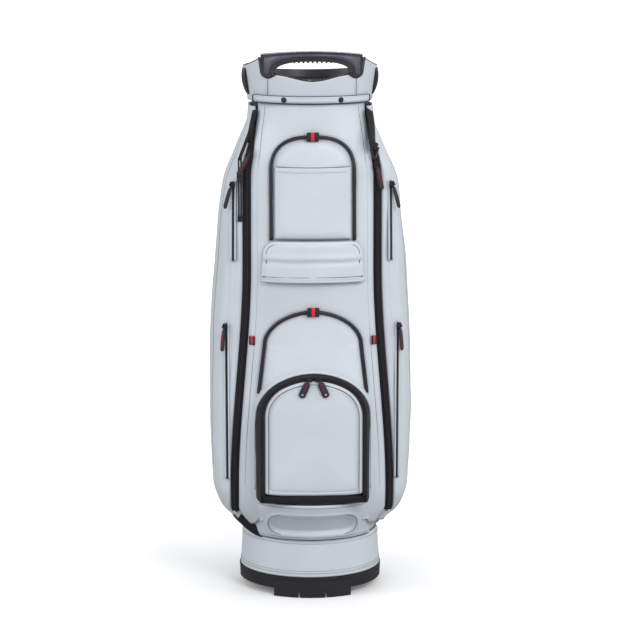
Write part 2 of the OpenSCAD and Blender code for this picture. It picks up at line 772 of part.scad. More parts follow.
// Triangular ring hanging from the webbing's hem.
module accessory_ring() {
    rod = 1.6;
    drop = 17;
    tip = 2;
    lean = atan((ring_w / 2 - tip) / drop);
    color(black) translate(ring_bar) rotate([0, 0, web_azimuth]) {
        translate([-ring_w / 2, 0, 0]) rotate([0, 90, 0]) cylinder(r = rod, h = ring_w);
        translate([-tip, 0, -drop]) rotate([0, 90, 0]) cylinder(r = rod, h = 2 * tip);
        for (side = [-1, 1]) {
            translate([side * ring_w / 2, 0, 0]) sphere(r = rod);
            translate([side * tip, 0, -drop]) sphere(r = rod);
            translate([side * ring_w / 2, 0, 0]) rotate([0, side * (lean - 180), 0])
                cylinder(r = rod, h = norm([ring_w / 2 - tip, drop]));
        }
    }
}

cord_x = [-121.4, -117.4];
cord_y = -95.3;
cord_top = 738;
cord_bottom = 642;
lock_z = 700;

// Towel cord: two strands with end stops, sewn in at the top beside the long zip.
module bungee_cord() {
    color(black) {
        for (x = cord_x) {
            translate([x, cord_y, cord_bottom]) cylinder(r = 1.3, h = cord_top - cord_bottom);
            translate([x, cord_y, cord_bottom - 6]) cylinder(r = 1.95, h = 8);
        }
        translate([cord_x[0] - 2, cord_y - 1.5, cord_top - 2]) cube([8, 5, 4]);
    }
}

module cord_lock() {
    color(black) difference() {
        translate([cord_x[0] - 3.2, cord_y - 3, lock_z]) cube([10.4, 6, 12]);
        for (x = cord_x) translate([x, cord_y, lock_z - 5]) cylinder(r = 1.37, h = 30);
    }
}

strap_at = [-58, 113];
strap_angle = atan2(strap_at[1], strap_at[0]);
strap_out = [cos(strap_angle), sin(strap_angle), 0];
strap_low = 112;
strap_high = collar_z - 38;
ring_bar_r = 1.9;
function strap_point(u) = [strap_at[0], strap_at[1], strap_low + (strap_high - strap_low) * u]
    + (3.8 + 17 * pow(sin(180 * u), 0.6)) * strap_out;

module at_strap(z) {
    translate([strap_at[0], strap_at[1], z]) rotate(strap_angle) children();
}

// A wire ring: its outer upright carries the strap's end, its inner upright is sewn to the bag.
module strap_ring(half, reach) {
    wire = 2.6;
    translate([0, 0, -half]) cylinder(r = ring_bar_r, h = 2 * half);
    for (z = [-half, half - wire]) translate([-reach, -wire / 2, z]) cube([reach, wire, wire]);
    translate([-reach, -wire / 2, -half]) cube([wire, wire, 2 * half]);
}

module strap_rings() {
    color(grey) {
        at_strap(strap_low) strap_ring(11, 8);
        at_strap(strap_high) strap_ring(16, 16);
    }
}

// Webbing that holds the rings: a tab at the top, and a band that runs round to the front at the foot.
module strap_anchors() {
    band_r = 116;
    band = [for (i = [0:10]) let (a = 206 - 84 * i / 10) [band_r * cos(a), band_r * sin(a), 105]];
    color(black) {
        at_strap(strap_high) translate([-19.2, -12, -7]) cube([2.2, 24, 18]);
        sweep(band, flat_section(3, 13), [0, 0, 1]);
    }
}

module shoulder_strap() {
    color(black) difference() {
        union() {
            sweep([for (i = [0:16]) strap_point(0.004 + 0.992 * i / 16)], flat_section(30, 2.4), strap_out);
            at_strap(strap_low) translate([0, 0, -7]) cylinder(r = 4, h = 14);
            at_strap(strap_high) translate([0, 0, -12]) cylinder(r = 4, h = 24);
        }
        for (z = [strap_low, strap_high]) at_strap(z - 20) cylinder(r = ring_bar_r + 0.07, h = 40);
    }
}

module strap_pad() {
    color(black) sweep([for (i = [0:10]) strap_point(0.42 + 0.4 * i / 10) + 5.4 * strap_out],
        flat_section(50, 8), strap_out);
}

foot();
base_cup();
base_screws();
base_band();
base_neck();
main_tube();
spine_stays();
club_dividers();
divider_top();
collar_moulding();
collar_cover();
collar_belt();
hood_snaps();
handle_moulding();
handle_grip();
handle_screws();
side_grips();
front_cover();
side_pocket_left();
side_pocket_right();
back_panel();
upper_pocket();
slip_panel();
arch_pipings();
flap_pouch();
pocket_flap();
ball_pocket();
ribbon_tabs();
zip_gusset();
arch_zip_outer();
front_panel();
arch_zip_inner();
on_left(arch_at) zip_slider(90 + arch_step - arch_lean);  // arch_slider_left
on_zip(arch_at) zip_slider(90 + arch_step - arch_lean);  // arch_slider_right
on_left(arch_at) zip_puller(puller_len);  // arch_pull_left
on_zip(arch_at) zip_puller(puller_len);  // arch_pull_right
boot();
boot_oval();
long_zips();
on_left(long_left_at) zip_slider(28);  // long_slider_left
on_zip(long_right_at) zip_slider(12);  // long_slider_right
on_left(long_left_at) zip_puller(long_puller_len);  // long_pull_left
on_zip(long_right_at) zip_puller(long_puller_len);  // long_pull_right
side_zips();
on_left(upper_at) zip_slider(18);  // upper_slider_left
on_zip(upper_at) zip_slider(18);  // upper_slider_right
on_left(upper_at) zip_puller(long_puller_len);  // upper_pull_left
on_zip(upper_at) zip_puller(long_puller_len);  // upper_pull_right
on_left(lower_at) zip_slider(6);  // lower_slider_left
on_zip(lower_at) zip_slider(6);  // lower_slider_right
on_left(lower_at) zip_puller(long_puller_len);  // lower_pull_left
on_zip(lower_at) zip_puller(long_puller_len);  // lower_pull_right
accessory_webbing();
accessory_ring();
bungee_cord();
cord_lock();
strap_anchors();
strap_rings();
shoulder_strap();
strap_pad();
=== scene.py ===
import bpy
import bmesh
import math
from mathutils import Vector, Matrix, noise
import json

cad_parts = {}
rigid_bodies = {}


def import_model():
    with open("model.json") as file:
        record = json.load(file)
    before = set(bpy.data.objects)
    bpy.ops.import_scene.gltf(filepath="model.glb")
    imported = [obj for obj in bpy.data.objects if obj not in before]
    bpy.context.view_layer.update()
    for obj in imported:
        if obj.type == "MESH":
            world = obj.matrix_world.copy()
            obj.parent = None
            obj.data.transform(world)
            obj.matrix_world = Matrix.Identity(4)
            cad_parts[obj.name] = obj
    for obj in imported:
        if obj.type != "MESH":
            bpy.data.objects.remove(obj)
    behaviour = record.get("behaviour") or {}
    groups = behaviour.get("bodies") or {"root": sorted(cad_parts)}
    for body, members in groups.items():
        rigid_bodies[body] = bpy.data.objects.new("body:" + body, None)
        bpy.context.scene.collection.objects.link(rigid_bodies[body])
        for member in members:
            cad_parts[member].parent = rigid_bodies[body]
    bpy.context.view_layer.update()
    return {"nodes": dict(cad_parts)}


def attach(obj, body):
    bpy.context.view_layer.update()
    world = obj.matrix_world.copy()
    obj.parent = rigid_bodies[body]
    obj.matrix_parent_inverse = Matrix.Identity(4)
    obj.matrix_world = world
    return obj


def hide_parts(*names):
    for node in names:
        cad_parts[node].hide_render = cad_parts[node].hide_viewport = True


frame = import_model()
NODES = frame["nodes"]
MM = 0.001
rad = math.radians


# ------------------------------------------------------------------ shape of the bag, millimetres
def clamp01(t):
    return min(1.0, max(0.0, t))


def smooth(t):
    t = clamp01(t)
    return t * t * (3 - 2 * t)


def zip_x(z):
    return 108 + 22 * smooth((560 - z) / 380) - 18 * smooth((z - 705) / 125) - 18 * smooth((150 - z) / 40)


def zip_y(z):
    return 92 - 40 * smooth((z - 725) / 103) - 30 * smooth((180 - z) / 80)


def back_y(z):
    return 108 - 36 * smooth((z - 628) / 200) - 20 * smooth((200 - z) / 100)


def front_d(z):
    return 104 + 24 * smooth((830 - z) / 330) - 12 * smooth((200 - z) / 100)


def rear_d(z):
    return 104 + 10 * smooth((828 - z) / 200) - 2 * smooth((200 - z) / 100)


def half_w(z):
    if z > 185:
        return (105 + 37 * smooth((822 - z) / 135) + 29 * math.sin(rad(90 * clamp01((740 - z) / 376)))
                - 4 * clamp01((364 - z) / 180) ** 2)
    return 116 + 51 * (1 - clamp01((185 - z) / 87) ** 1.7)


def zip_half(z):
    return 5.8 - 4.3 * smooth((z - 735) / 60)


def front_depth(x, z):
    s = clamp01(abs(x) / zip_x(z))
    return zip_y(z) + (front_d(z) - zip_y(z)) * (1 - s ** 2.5)


BACK_X = 75


def side_point(t, z, off=0.0):
    front = t < 0
    cx = zip_x(z) if front else BACK_X
    cy = zip_y(z) if front else back_y(z)
    c = abs(math.cos(rad(t))) ** 0.8
    s = abs(math.sin(rad(t))) ** 0.8 * (-1 if front else 1)
    return cx + (half_w(z) + off - cx) * c, (cy + off) * s


def side_t(x, z):
    return -math.degrees(math.acos(clamp01((x - zip_x(z)) / (half_w(z) - zip_x(z))) ** 1.25))


def lumps(p, scale, amount, seed=0.0):
    """Slow unevenness of soft material: p in mm, scale in mm."""
    return amount * noise.noise(Vector((p[0] / scale + seed, p[1] / scale - seed, p[2] / scale + 2 * seed)))


# ------------------------------------------------------------------ meshes
def new_object(name, verts, faces, mat, body, scale=MM, shade=True):
    name += "_made" if name in NODES else ""
    me = bpy.data.meshes.new(name)
    me.from_pydata([tuple(c * scale for c in v) for v in verts], [], faces)
    me.validate()
    me.update()
    ob = bpy.data.objects.new(name, me)
    bpy.context.scene.collection.objects.link(ob)
    if shade:
        me.polygons.foreach_set("use_smooth", [True] * len(me.polygons))
    if mat is not None:
        me.materials.append(mat)
    ob["ride_on"] = body
    return ob


def weld(ob, dist=0.0002):
    bm = bmesh.new()
    bm.from_mesh(ob.data)
    bmesh.ops.remove_doubles(bm, verts=bm.verts, dist=dist)
    bmesh.ops.dissolve_degenerate(bm, dist=dist / 4, edges=bm.edges)
    bmesh.ops.recalc_face_normals(bm, faces=bm.faces)
    bm.to_mesh(ob.data)
    bm.free()
    ob.data.polygons.foreach_set("use_smooth", [True] * len(ob.data.polygons))


def apply_modifiers(ob):
    bpy.context.view_layer.update()
    dg = bpy.context.evaluated_depsgraph_get()
    me = bpy.data.meshes.new_from_object(ob.evaluated_get(dg))
    ob.modifiers.clear()
    old = ob.data
    ob.data = me
    bpy.data.meshes.remove(old)
    me.polygons.foreach_set("use_smooth", [True] * len(me.polygons))


def closed_sheet(rows, thick):
    """A closed shell: rows of points bottom to top, left to right as seen from outside, and a copy set back
    along the normals. thick is one number or a function of (row, column)."""
    m, n = len(rows), len(rows[0])
    P = [[Vector(p) for p in r] for r in rows]
    back = []
    for j in range(m):
        line = []
        for i in range(n):
            du = P[j][min(i + 1, n - 1)] - P[j][max(i - 1, 0)]
            dv = P[min(j + 1, m - 1)][i] - P[max(j - 1, 0)][i]
            nrm = du.cross(dv)
            nrm = nrm.normalized() if nrm.length > 1e-9 else Vector((0, -1, 0))
            t = thick(j, i) if callable(thick) else thick
            line.append(P[j][i] - nrm * t)
        back.append(line)
    verts = [p for r in P for p in r] + [p for r in back for p in r]
    k = m * n
    faces = []
    for j in range(m - 1):
        for i in range(n - 1):
            a = j * n + i
            faces.append((a, a + 1, a + n + 1, a + n))
            faces.append((k + a, k + a + n, k + a + n + 1, k + a + 1))
    for i in range(n - 1):
        faces.append((i + 1, i, k + i, k + i + 1))
        a = (m - 1) * n + i
        faces.append((a, a + 1, k + a + 1, k + a))
    for j in range(m - 1):
        a, b = j * n, (j + 1) * n
        faces.append((a, b, k + b, k + a))
        a, b = j * n + n - 1, (j + 1) * n + n - 1
        faces.append((b, a, k + a, k + b))
    return verts, faces


def sheet(name, rows, thick, mat, body, weld_it=False):
    v, f = closed_sheet(rows, thick)
    ob = new_object(name, v, f, mat, body)
    if weld_it:
        weld(ob)
    return ob


def tube_mesh(path, section, closed=False, faces_out=None):
    """Sweeps a closed section (list of (side, up)) along a path of (point, up) pairs."""
    m, n = len(path), len(section)
    verts, faces = [], []
    for j in range(m):
        p = Vector(path[j][0])
        a = Vector(path[(j - 1) % m if closed else max(j - 1, 0)][0])
        b = Vector(path[(j + 1) % m if closed else min(j + 1, m - 1)][0])
        t = (b - a).normalized()
        up = Vector(path[j][1])
        side = t.cross(up)
        side = side.normalized() if side.length > 1e-9 else Vector((1, 0, 0))
        up = side.cross(t).normalized()
        for (x, y) in section:
            verts.append(p + side * x + up * y)
    rings = m if closed else m - 1
    for j in range(rings):
        for i in range(n):
            a, b = j * n + i, j * n + (i + 1) % n
            c, d = ((j + 1) % m) * n + (i + 1) % n, ((j + 1) % m) * n + i
            faces.append((a, b, c, d))
    if not closed:
        faces.append(tuple(reversed(range(n))))
        faces.append(tuple((m - 1) * n + i for i in range(n)))
    return verts, faces


def merge(parts):
    verts, faces = [], []
    for v, f in parts:
        k = len(verts)
        verts += list(v)
        faces += [tuple(i + k for i in q) for q in f]
    return verts, faces


def circle(r, n=10):
    return [(r * math.cos(2 * math.pi * i / n), r * math.sin(2 * math.pi * i / n)) for i in range(n)]


def band(w, t, r=0.4):
    """Section of flat webbing with softened edges."""
    a, b = w / 2, t / 2
    return [(-a, -b + r), (-a, b - r), (-a + r, b), (a - r, b), (a, b - r), (a, -b + r), (a - r, -b), (-a + r, -b)]


def resample(path, step):
    """Points and ups evenly spaced along a path of (point, up)."""
    out = [path[0]]
    left = step
    for (p, u), (q, w) in zip(path, path[1:]):
        p, q, u, w = Vector(p), Vector(q), Vector(u), Vector(w)
        d = (q - p).length
        if d < 1e-9:
            continue
        s = left
        while s <= d:
            f = s / d
            out.append((p.lerp(q, f), u.lerp(w, f)))
            s += step
        left = s - d
    return out


def stitches(path, pitch=4.2, length=2.9, r=0.42, lift=0.15, slant=0.0):
    """A row of sewn stitches along a path of (point, up): one small rounded thread segment for each."""
    pts = resample(path, pitch)
    parts = []
    for k in range(len(pts) - 1):
        p, u = Vector(pts[k][0]), Vector(pts[k][1]).normalized()
        d = (Vector(pts[k + 1][0]) - p)
        if d.length < 1e-6:
            continue
        d.normalize()
        side = d.cross(u).normalized()
        d = (d + side * slant).normalized()
        side = d.cross(u).normalized()
        c = p + u * lift
        verts = []
        for (f, rr, h) in ((-0.5, 0.35, -0.35), (-0.3, 0.9, 0.0), (0.3, 0.9, 0.0), (0.5, 0.35, -0.35)):
            for a in range(6):
                ang = math.pi * a / 3
                verts.append(c + d * (f * length) + side * (math.cos(ang) * r * rr)
                             + u * (math.sin(ang) * r * rr + h * r))
        faces = []
        for s in range(3):
            for a in range(6):
                faces.append((s * 6 + a, s * 6 + (a + 1) % 6, (s + 1) * 6 + (a + 1) % 6, (s + 1) * 6 + a))
        faces.append(tuple(range(5, -1, -1)))
        faces.append(tuple(range(18, 24)))
        parts.append((verts, faces))
    return merge(parts)


def add(name, vf, mat, body):
    return new_object(name, vf[0], vf[1], mat, body)


def seam_line(name, path, r=0.42, body="bag", mat="seam"):
    """Thin dark line where two layers are sewn together: partly the seam itself, partly painted shadow in the seam."""
    return add(name, tube_mesh(path, circle(r, 6)), M[mat], body)


def mirror_x(vf):
    return [(-v[0], v[1], v[2]) for v in vf[0]], [tuple(reversed(f)) for f in vf[1]]


def soft_levels(n, power=1.0):
    """-1..1, closer together towards the ends."""
    return [math.sin(math.pi / 2 * (2 * i / n - 1)) * power + (1 - power) * (2 * i / n - 1) for i in range(n + 1)]


# ------------------------------------------------------------------ materials
class Nodes:
    def __init__(self, name):
        self.mat = bpy.data.materials.new(name)
        self.mat.use_nodes = True
        self.t = self.mat.node_tree
        self.t.nodes.clear()
        self.out = self.t.nodes.new("ShaderNodeOutputMaterial")
        self.p = self.t.nodes.new("ShaderNodeBsdfPrincipled")
        self.link(self.p.outputs["BSDF"], self.out.inputs["Surface"])
        self.co = self.t.nodes.new("ShaderNodeTexCoord").outputs["Object"]

    def link(self, a, b):
        self.t.links.new(a, b)

    def node(self, kind, **kw):
        n = self.t.nodes.new(kind)
        for k, v in kw.items():
            if k in n.inputs:
                n.inputs[k].default_value = v
            else:
                setattr(n, k, v)
        return n

    def noise(self, scale, detail=2.0, rough=0.5, vector=None):
        n = self.node("ShaderNodeTexNoise", Scale=scale, Detail=detail, Roughness=rough)
        self.link(vector or self.co, n.inputs["Vector"])
        return n.outputs["Fac"]

    def voronoi(self, scale, feature="F1", vector=None):
        n = self.node("ShaderNodeTexVoronoi", Scale=scale)
        n.feature = feature
        self.link(vector or self.co, n.inputs["Vector"])
        return n.outputs["Distance"]

    def wave(self, scale, axis="X", vector=None, distortion=0.0, profile="SIN"):
        n = self.node("ShaderNodeTexWave", Scale=scale, Distortion=distortion)
        n.bands_direction = axis
        n.wave_profile = profile
        self.link(vector or self.co, n.inputs["Vector"])
        return n.outputs["Fac"]

    def ramp(self, fac, stops, interpolation="LINEAR"):
        n = self.node("ShaderNodeValToRGB")
        n.color_ramp.interpolation = interpolation
        e = n.color_ramp.elements
        while len(e) > 1:
            e.remove(e[-1])
        e[0].position, e[0].color = stops[0][0], stops[0][1]
        for pos, col in stops[1:]:
            k = e.new(pos)
            k.color = col
        self.link(fac, n.inputs["Fac"])
        return n.outputs["Color"]

    def math(self, op, a, b=None, clamp=False):
        n = self.node("ShaderNodeMath")
        n.operation = op
        n.use_clamp = clamp
        for i, v in enumerate((a, b)):
            if v is None:
                continue
            if isinstance(v, (int, float)):
                n.inputs[i].default_value = v
            else:
                self.link(v, n.inputs[i])
        return n.outputs[0]

    def mix(self, fac, a, b):
        n = self.t.nodes.new("ShaderNodeMix")
        n.data_type = "RGBA"
        for key, v in (("Factor", fac), ("A", a), ("B", b)):
            sock = [s for s in n.inputs if s.name == key and (s.type == "RGBA" or key == "Factor" and s.type == "VALUE")][0]
            if isinstance(v, (int, float, tuple, list)):
                sock.default_value = v
            else:
                self.link(v, sock)
        return [s for s in n.outputs if s.type == "RGBA"][0]

    def map(self, value, lo, hi):
        n = self.node("ShaderNodeMapRange")
        n.inputs["To Min"].default_value = lo
        n.inputs["To Max"].default_value = hi
        self.link(value, n.inputs["Value"])
        return n.outputs[0]

    def bump(self, height, strength, distance, normal=None):
        n = self.node("ShaderNodeBump", Strength=strength, Distance=distance)
        self.link(height, n.inputs["Height"])
        if normal is not None:
            self.link(normal, n.inputs["Normal"])
        return n.outputs["Normal"]

    def set(self, **kw):
        names = {"color": "Base Color", "rough": "Roughness", "metal": "Metallic", "normal": "Normal",
                 "sheen": "Sheen Weight", "sheen_rough": "Sheen Roughness", "spec": "Specular IOR Level",
                 "coat": "Coat Weight", "coat_rough": "Coat Roughness"}
        for k, v in kw.items():
            sock = self.p.inputs[names[k]]
            if hasattr(v, "is_linked") or hasattr(v, "links"):
                self.link(v, sock)
            else:
                sock.default_value = v
        return self.mat


def ao_crease_painted_shade(n, color, dark, amount):
    """Painted shade: colour darkened in the creases and where panels meet, as found by ambient occlusion."""
    ao = n.node("ShaderNodeAmbientOcclusion", Distance=0.012)
    ao.samples = 6
    fac = n.math("POWER", ao.outputs["AO"], 1.6)
    inv = n.math("SUBTRACT", 1.0, fac, clamp=True)
    return n.mix(n.math("MULTIPLY", inv, amount), color, dark)


def leatherette(name, base, grain=900.0, rough=0.5):
    n = Nodes(name)
    big = n.noise(9.0, 3.0, 0.55)
    mid = n.noise(60.0, 3.0, 0.5)
    b = tuple(base) + (1.0,)
    lo = tuple(c * 0.955 for c in base) + (1.0,)
    hi = tuple(min(1, c * 1.03) for c in base) + (1.0,)
    col = n.ramp(big, [(0.3, lo), (0.55, b), (0.8, hi)])
    col = n.mix(n.math("MULTIPLY", n.ramp(mid, [(0.42, (0, 0, 0, 1)), (0.75, (1, 1, 1, 1))]), 0.12), col,
                tuple(c * 0.93 for c in base) + (1.0,))
    # painted shade in creases and seams, from ambient occlusion
    col = ao_crease_painted_shade(n, col, tuple(c * 0.55 for c in base) + (1.0,), 0.55)
    cells = n.voronoi(grain)
    cracks = n.voronoi(grain * 0.62, "DISTANCE_TO_EDGE")
    fine = n.noise(grain * 1.6, 2.0)
    h = n.math("ADD", n.math("MULTIPLY", cells, -0.6), n.math("MULTIPLY", n.math("MINIMUM", cracks, 0.12), 4.0))
    h = n.math("ADD", h, n.math("MULTIPLY", fine, 0.5))
    normal = n.bump(h, 0.22, 0.00035)
    wrinkle = n.noise(38.0, 4.0, 0.6)
    normal = n.bump(wrinkle, 0.10, 0.0016, normal)
    r = n.map(n.noise(45.0, 2.0), rough - 0.06, rough + 0.07)
    return n.set(color=col, rough=r, normal=normal, sheen=0.05, coat=0.04, coat_rough=0.35)


def woven(name, base, scale=1500.0, rough=0.8, ribs=0.6):
    n = Nodes(name)
    wx = n.wave(scale / 6.2832 * 2, "X")
    wz = n.wave(scale / 6.2832 * 2, "Z")
    wy = n.wave(scale / 6.2832 * 2, "Y")
    h = n.math("ADD", n.math("MULTIPLY", n.math("MULTIPLY", wx, wz), 1.0), n.math("MULTIPLY", wy, 0.5))
    fuzz = n.noise(2600.0, 3.0)
    lo = tuple(c * 0.6 for c in base) + (1.0,)
    hi = tuple(min(1, c * 1.6 + 0.004) for c in base) + (1.0,)
    col = n.mix(n.math("MULTIPLY", h, 0.6, clamp=True), lo, hi)
    col = n.mix(n.map(n.noise(30.0, 2.0), 0.0, 0.35), col, tuple(min(1, c * 1.35 + 0.003) for c in base) + (1.0,))
    h = n.math("ADD", h, n.math("MULTIPLY", fuzz, ribs))
    return n.set(color=col, rough=n.map(fuzz, rough - 0.08, rough + 0.1), normal=n.bump(h, 0.5, 0.0004),
                 sheen=0.04, sheen_rough=0.5, spec=0.3)


def plastic(name, base, rough=0.42, grain=2200.0, bump=0.12):
    n = Nodes(name)
    b = tuple(base) + (1.0,)
    col = n.mix(n.map(n.noise(26.0, 3.0), 0.0, 0.6), b, tuple(min(1, c * 1.25 + 0.003) for c in base) + (1.0,))
    # painted shade in creases and seams, from ambient occlusion
    col = ao_crease_painted_shade(n, col, tuple(c * 0.5 for c in base) + (1.0,), 0.5)
    h = n.math("ADD", n.noise(grain, 2.0), n.math("MULTIPLY", n.voronoi(grain * 0.5), 0.6))
    return n.set(color=col, rough=n.map(n.noise(70.0, 3.0), rough - 0.08, rough + 0.1),
                 normal=n.bump(h, bump, 0.0003))


def rubber(name, base, rough=0.62):
    n = Nodes(name)
    dust = n.noise(22.0, 4.0, 0.65)
    b = tuple(base) + (1.0,)
    col = n.mix(n.math("MULTIPLY", n.ramp(dust, [(0.45, (0, 0, 0, 1)), (0.8, (1, 1, 1, 1))]), 0.25), b,
                tuple(min(1, c + 0.02) for c in base) + (1.0,))
    h = n.math("ADD", n.noise(1500.0, 3.0), n.math("MULTIPLY", n.noise(180.0, 2.0), 0.8))
    return n.set(color=col, rough=n.map(dust, rough - 0.08, rough + 0.12), normal=n.bump(h, 0.25, 0.0004))


def metal(name, base, rough=0.3):
    n = Nodes(name)
    m = n.node("ShaderNodeMapping")
    m.inputs["Scale"].default_value = (1.0, 1.0, 0.05)
    n.link(n.co, m.inputs["Vector"])
    brush = n.noise(3000.0, 3.0, 0.6, m.outputs[0])
    col = n.mix(n.map(brush, 0.0, 0.5), tuple(base) + (1.0,), tuple(c * 0.8 for c in base) + (1.0,))
    return n.set(color=col, metal=1.0, rough=n.map(brush, rough - 0.08, rough + 0.15),
                 normal=n.bump(brush, 0.08, 0.0002))


def ribbon_stripes(name, edge, middle, half, axis="X"):
    """Woven ribbon with a coloured band down its middle, measured across from x = 0 of its own object."""
    n = Nodes(name)
    sep = n.node("ShaderNodeSeparateXYZ")
    n.link(n.co, sep.inputs[0])
    d = n.math("ABSOLUTE", sep.outputs[axis])
    fac = n.math("LESS_THAN", d, half)
    ribs = n.wave(420.0, "Z" if axis == "X" else "X")
    fuzz = n.noise(2500.0, 2.0)
    col = n.mix(fac, tuple(edge) + (1.0,), tuple(middle) + (1.0,))
    col = n.mix(n.math("MULTIPLY", ribs, 0.3), col, (0.004, 0.003, 0.004, 1.0))
    h = n.math("ADD", ribs, n.math("MULTIPLY", fuzz, 0.6))
    return n.set(color=col, rough=0.6, normal=n.bump(h, 0.5, 0.0003), sheen=0.04)


WHITE = (0.60, 0.645, 0.70)
BLACK = (0.010, 0.008, 0.012)
M = {
    "white": leatherette("white_leatherette", WHITE),
    "white_panel": leatherette("white_leatherette_panel", tuple(c * 1.03 for c in WHITE), 860.0, 0.47),
    "piping": leatherette("black_piping_leatherette", (0.011, 0.008, 0.013), 1500.0, 0.38),
    "black_cloth": woven("black_woven_cloth", BLACK),
    "webbing": woven("black_webbing", (0.009, 0.008, 0.011), 900.0, 0.75, 0.4),
    "lining": woven("grey_lining_cloth", (0.055, 0.057, 0.065), 1700.0),
    "tape": woven("zip_tape_cloth", (0.010, 0.008, 0.012), 2200.0, 0.72, 0.5),
    "teeth": plastic("zip_teeth_plastic", (0.014, 0.012, 0.018), 0.34, 3000.0, 0.05),
    "slider": plastic("slider_black_metal", (0.013, 0.012, 0.016), 0.28, 2600.0, 0.05),
    "puller": rubber("puller_rubber", (0.020, 0.015, 0.022), 0.5),
    "moulding": plastic("black_moulding", (0.012, 0.011, 0.016), 0.42),
    "divider": plastic("divider_moulding", (0.03, 0.03, 0.034), 0.5, 1800.0, 0.2),
    "handle_face": plastic("handle_face_plastic", (0.06, 0.062, 0.09), 0.34),
    "grip": rubber("grip_rubber", (0.010, 0.009, 0.012), 0.55),
    "foot": rubber("foot_rubber", (0.008, 0.007, 0.010), 0.6),
    "metal": metal("satin_steel", (0.62, 0.63, 0.66)),
    "red": rubber("red_rubber_line", (0.50, 0.02, 0.03), 0.5),
    "thread_white": woven("white_thread", (0.56, 0.60, 0.66), 5200.0, 0.6),
    "thread_grey": woven("grey_thread", (0.17, 0.18, 0.21), 5200.0, 0.6),
    "thread_black": woven("black_thread", (0.02, 0.02, 0.024), 5200.0, 0.6),
    "ribbon": ribbon_stripes("red_black_ribbon", (0.008, 0.007, 0.010), (0.86, 0.012, 0.028), 0.0027),
    "ribbon_small": ribbon_stripes("red_black_ribbon_small", (0.008, 0.007, 0.010), (0.86, 0.012, 0.028), 0.0016),
    # dark seam lines: partly the seam itself, partly painted shadow in the seam
    "seam": woven("dark_seam_line_painted_shadow", (0.075, 0.078, 0.09), 5200.0, 0.6),
    "mesh": woven("strap_spacer_mesh", (0.03, 0.03, 0.035), 700.0, 0.85, 0.3),
}


def paint(node, mat, bevel=0.0, segments=3, angle=30):
    """Gives a CAD node that stays in view its finish, softened edges and smooth shading."""
    ob = NODES[node]
    ob.data.materials.clear()
    ob.data.materials.append(mat)
    if bevel:
        b = ob.modifiers.new("soft_edges", "BEVEL")
        b.width = bevel * MM
        b.segments = segments
        b.limit_method = "ANGLE"
        b.angle_limit = rad(angle)
        b.harden_normals = False
    ob.data.polygons.foreach_set("use_smooth", [True] * len(ob.data.polygons))
    e = ob.modifiers.new("smooth_by_angle", "EDGE_SPLIT")
    e.split_angle = rad(35)
    return ob


def settle(ob, free, pressure=4.0, cap=5.0, frames=20, stiffness=12.0):
    """Pressurised cloth on a padded piece: free(point in mm) is 0 where the piece is sewn down and 1 where it
    may move. The result is applied, and no point moves further than cap."""
    sc = bpy.context.scene
    rest = [v.co.copy() for v in ob.data.vertices]
    hold = [1 - clamp01(free(c / MM)) for c in rest]
    g = ob.vertex_groups.new(name="sewn")
    for i, w in enumerate(hold):
        g.add([i], w, "REPLACE")
    c = ob.modifiers.new("cloth", "CLOTH")
    c.settings.quality = 6
    c.settings.mass = 0.3
    c.settings.tension_stiffness = stiffness
    c.settings.compression_stiffness = stiffness
    c.settings.shear_stiffness = stiffness / 2
    c.settings.bending_stiffness = 0.8
    c.settings.use_pressure = True
    c.settings.uniform_pressure_force = pressure
    c.settings.effector_weights.gravity = 0
    c.settings.vertex_group_mass = "sewn"
    c.collision_settings.use_collision = False
    c.collision_settings.use_self_collision = False
    c.point_cache.frame_start = 1
    c.point_cache.frame_end = frames
    for f in range(1, frames + 1):
        sc.frame_set(f)
    me = bpy.data.meshes.new_from_object(ob.evaluated_get(bpy.context.evaluated_depsgraph_get()))
    ob.modifiers.clear()
    old, ob.data = ob.data, me
    bpy.data.meshes.remove(old)
    for v, a in zip(me.vertices, rest):
        d = v.co - a
        if d.length > cap * MM:
            d *= cap * MM / d.length
        v.co = a + d
    ss = ob.modifiers.new("sub", "SUBSURF")
    ss.levels = ss.render_levels = 1
    apply_modifiers(ob)
    ob.vertex_groups.clear()
    sc.frame_set(1)
    return ob


def front_normal(x, z):
    e = 1.0
    dx = (front_depth(x + e, z) - front_depth(x - e, z)) / (2 * e)
    dz = (front_depth(x, z + e) - front_depth(x, z - e)) / (2 * e)
    return Vector((-dx, -1, -dz)).normalized()


def on_front(x, z, out=0.0):
    n = front_normal(x, z)
    return Vector((x, -front_depth(x, z), z)) + n * out, n


# ------------------------------------------------------------------ body panels
Z_TOP = 828


def edge_roll(d, r):
    """How far a padded panel falls back at distance d from its sewn edge."""
    if d >= r:
        return 0.0
    f = clamp01(d / r)
    return r * (1 - math.sqrt(max(0.0, 1 - (1 - f) ** 2)))


def cover_point(x, z):
    """A point of the front cover's outside, with its padding, its folds and the groove beside each long zip."""
    a = zip_x(z) - zip_half(z) - 0.4
    d = front_depth(x, z) - edge_roll(a - abs(x), 6.0) * 0.9
    p = (x, -d, z)
    puff = 1.2 * smooth((a - abs(x)) / 16) * smooth((Z_TOP - z) / 14)
    wob = (lumps(p, 70, 1.3, 0.3) + lumps(p, 24, 0.3, 1.3)) * smooth((a - abs(x)) / 10)
    seam = 1.0 * math.exp(-((abs(x) - (a - 11)) / 1.5) ** 2)
    return (x, -d - puff - wob + seam, z)


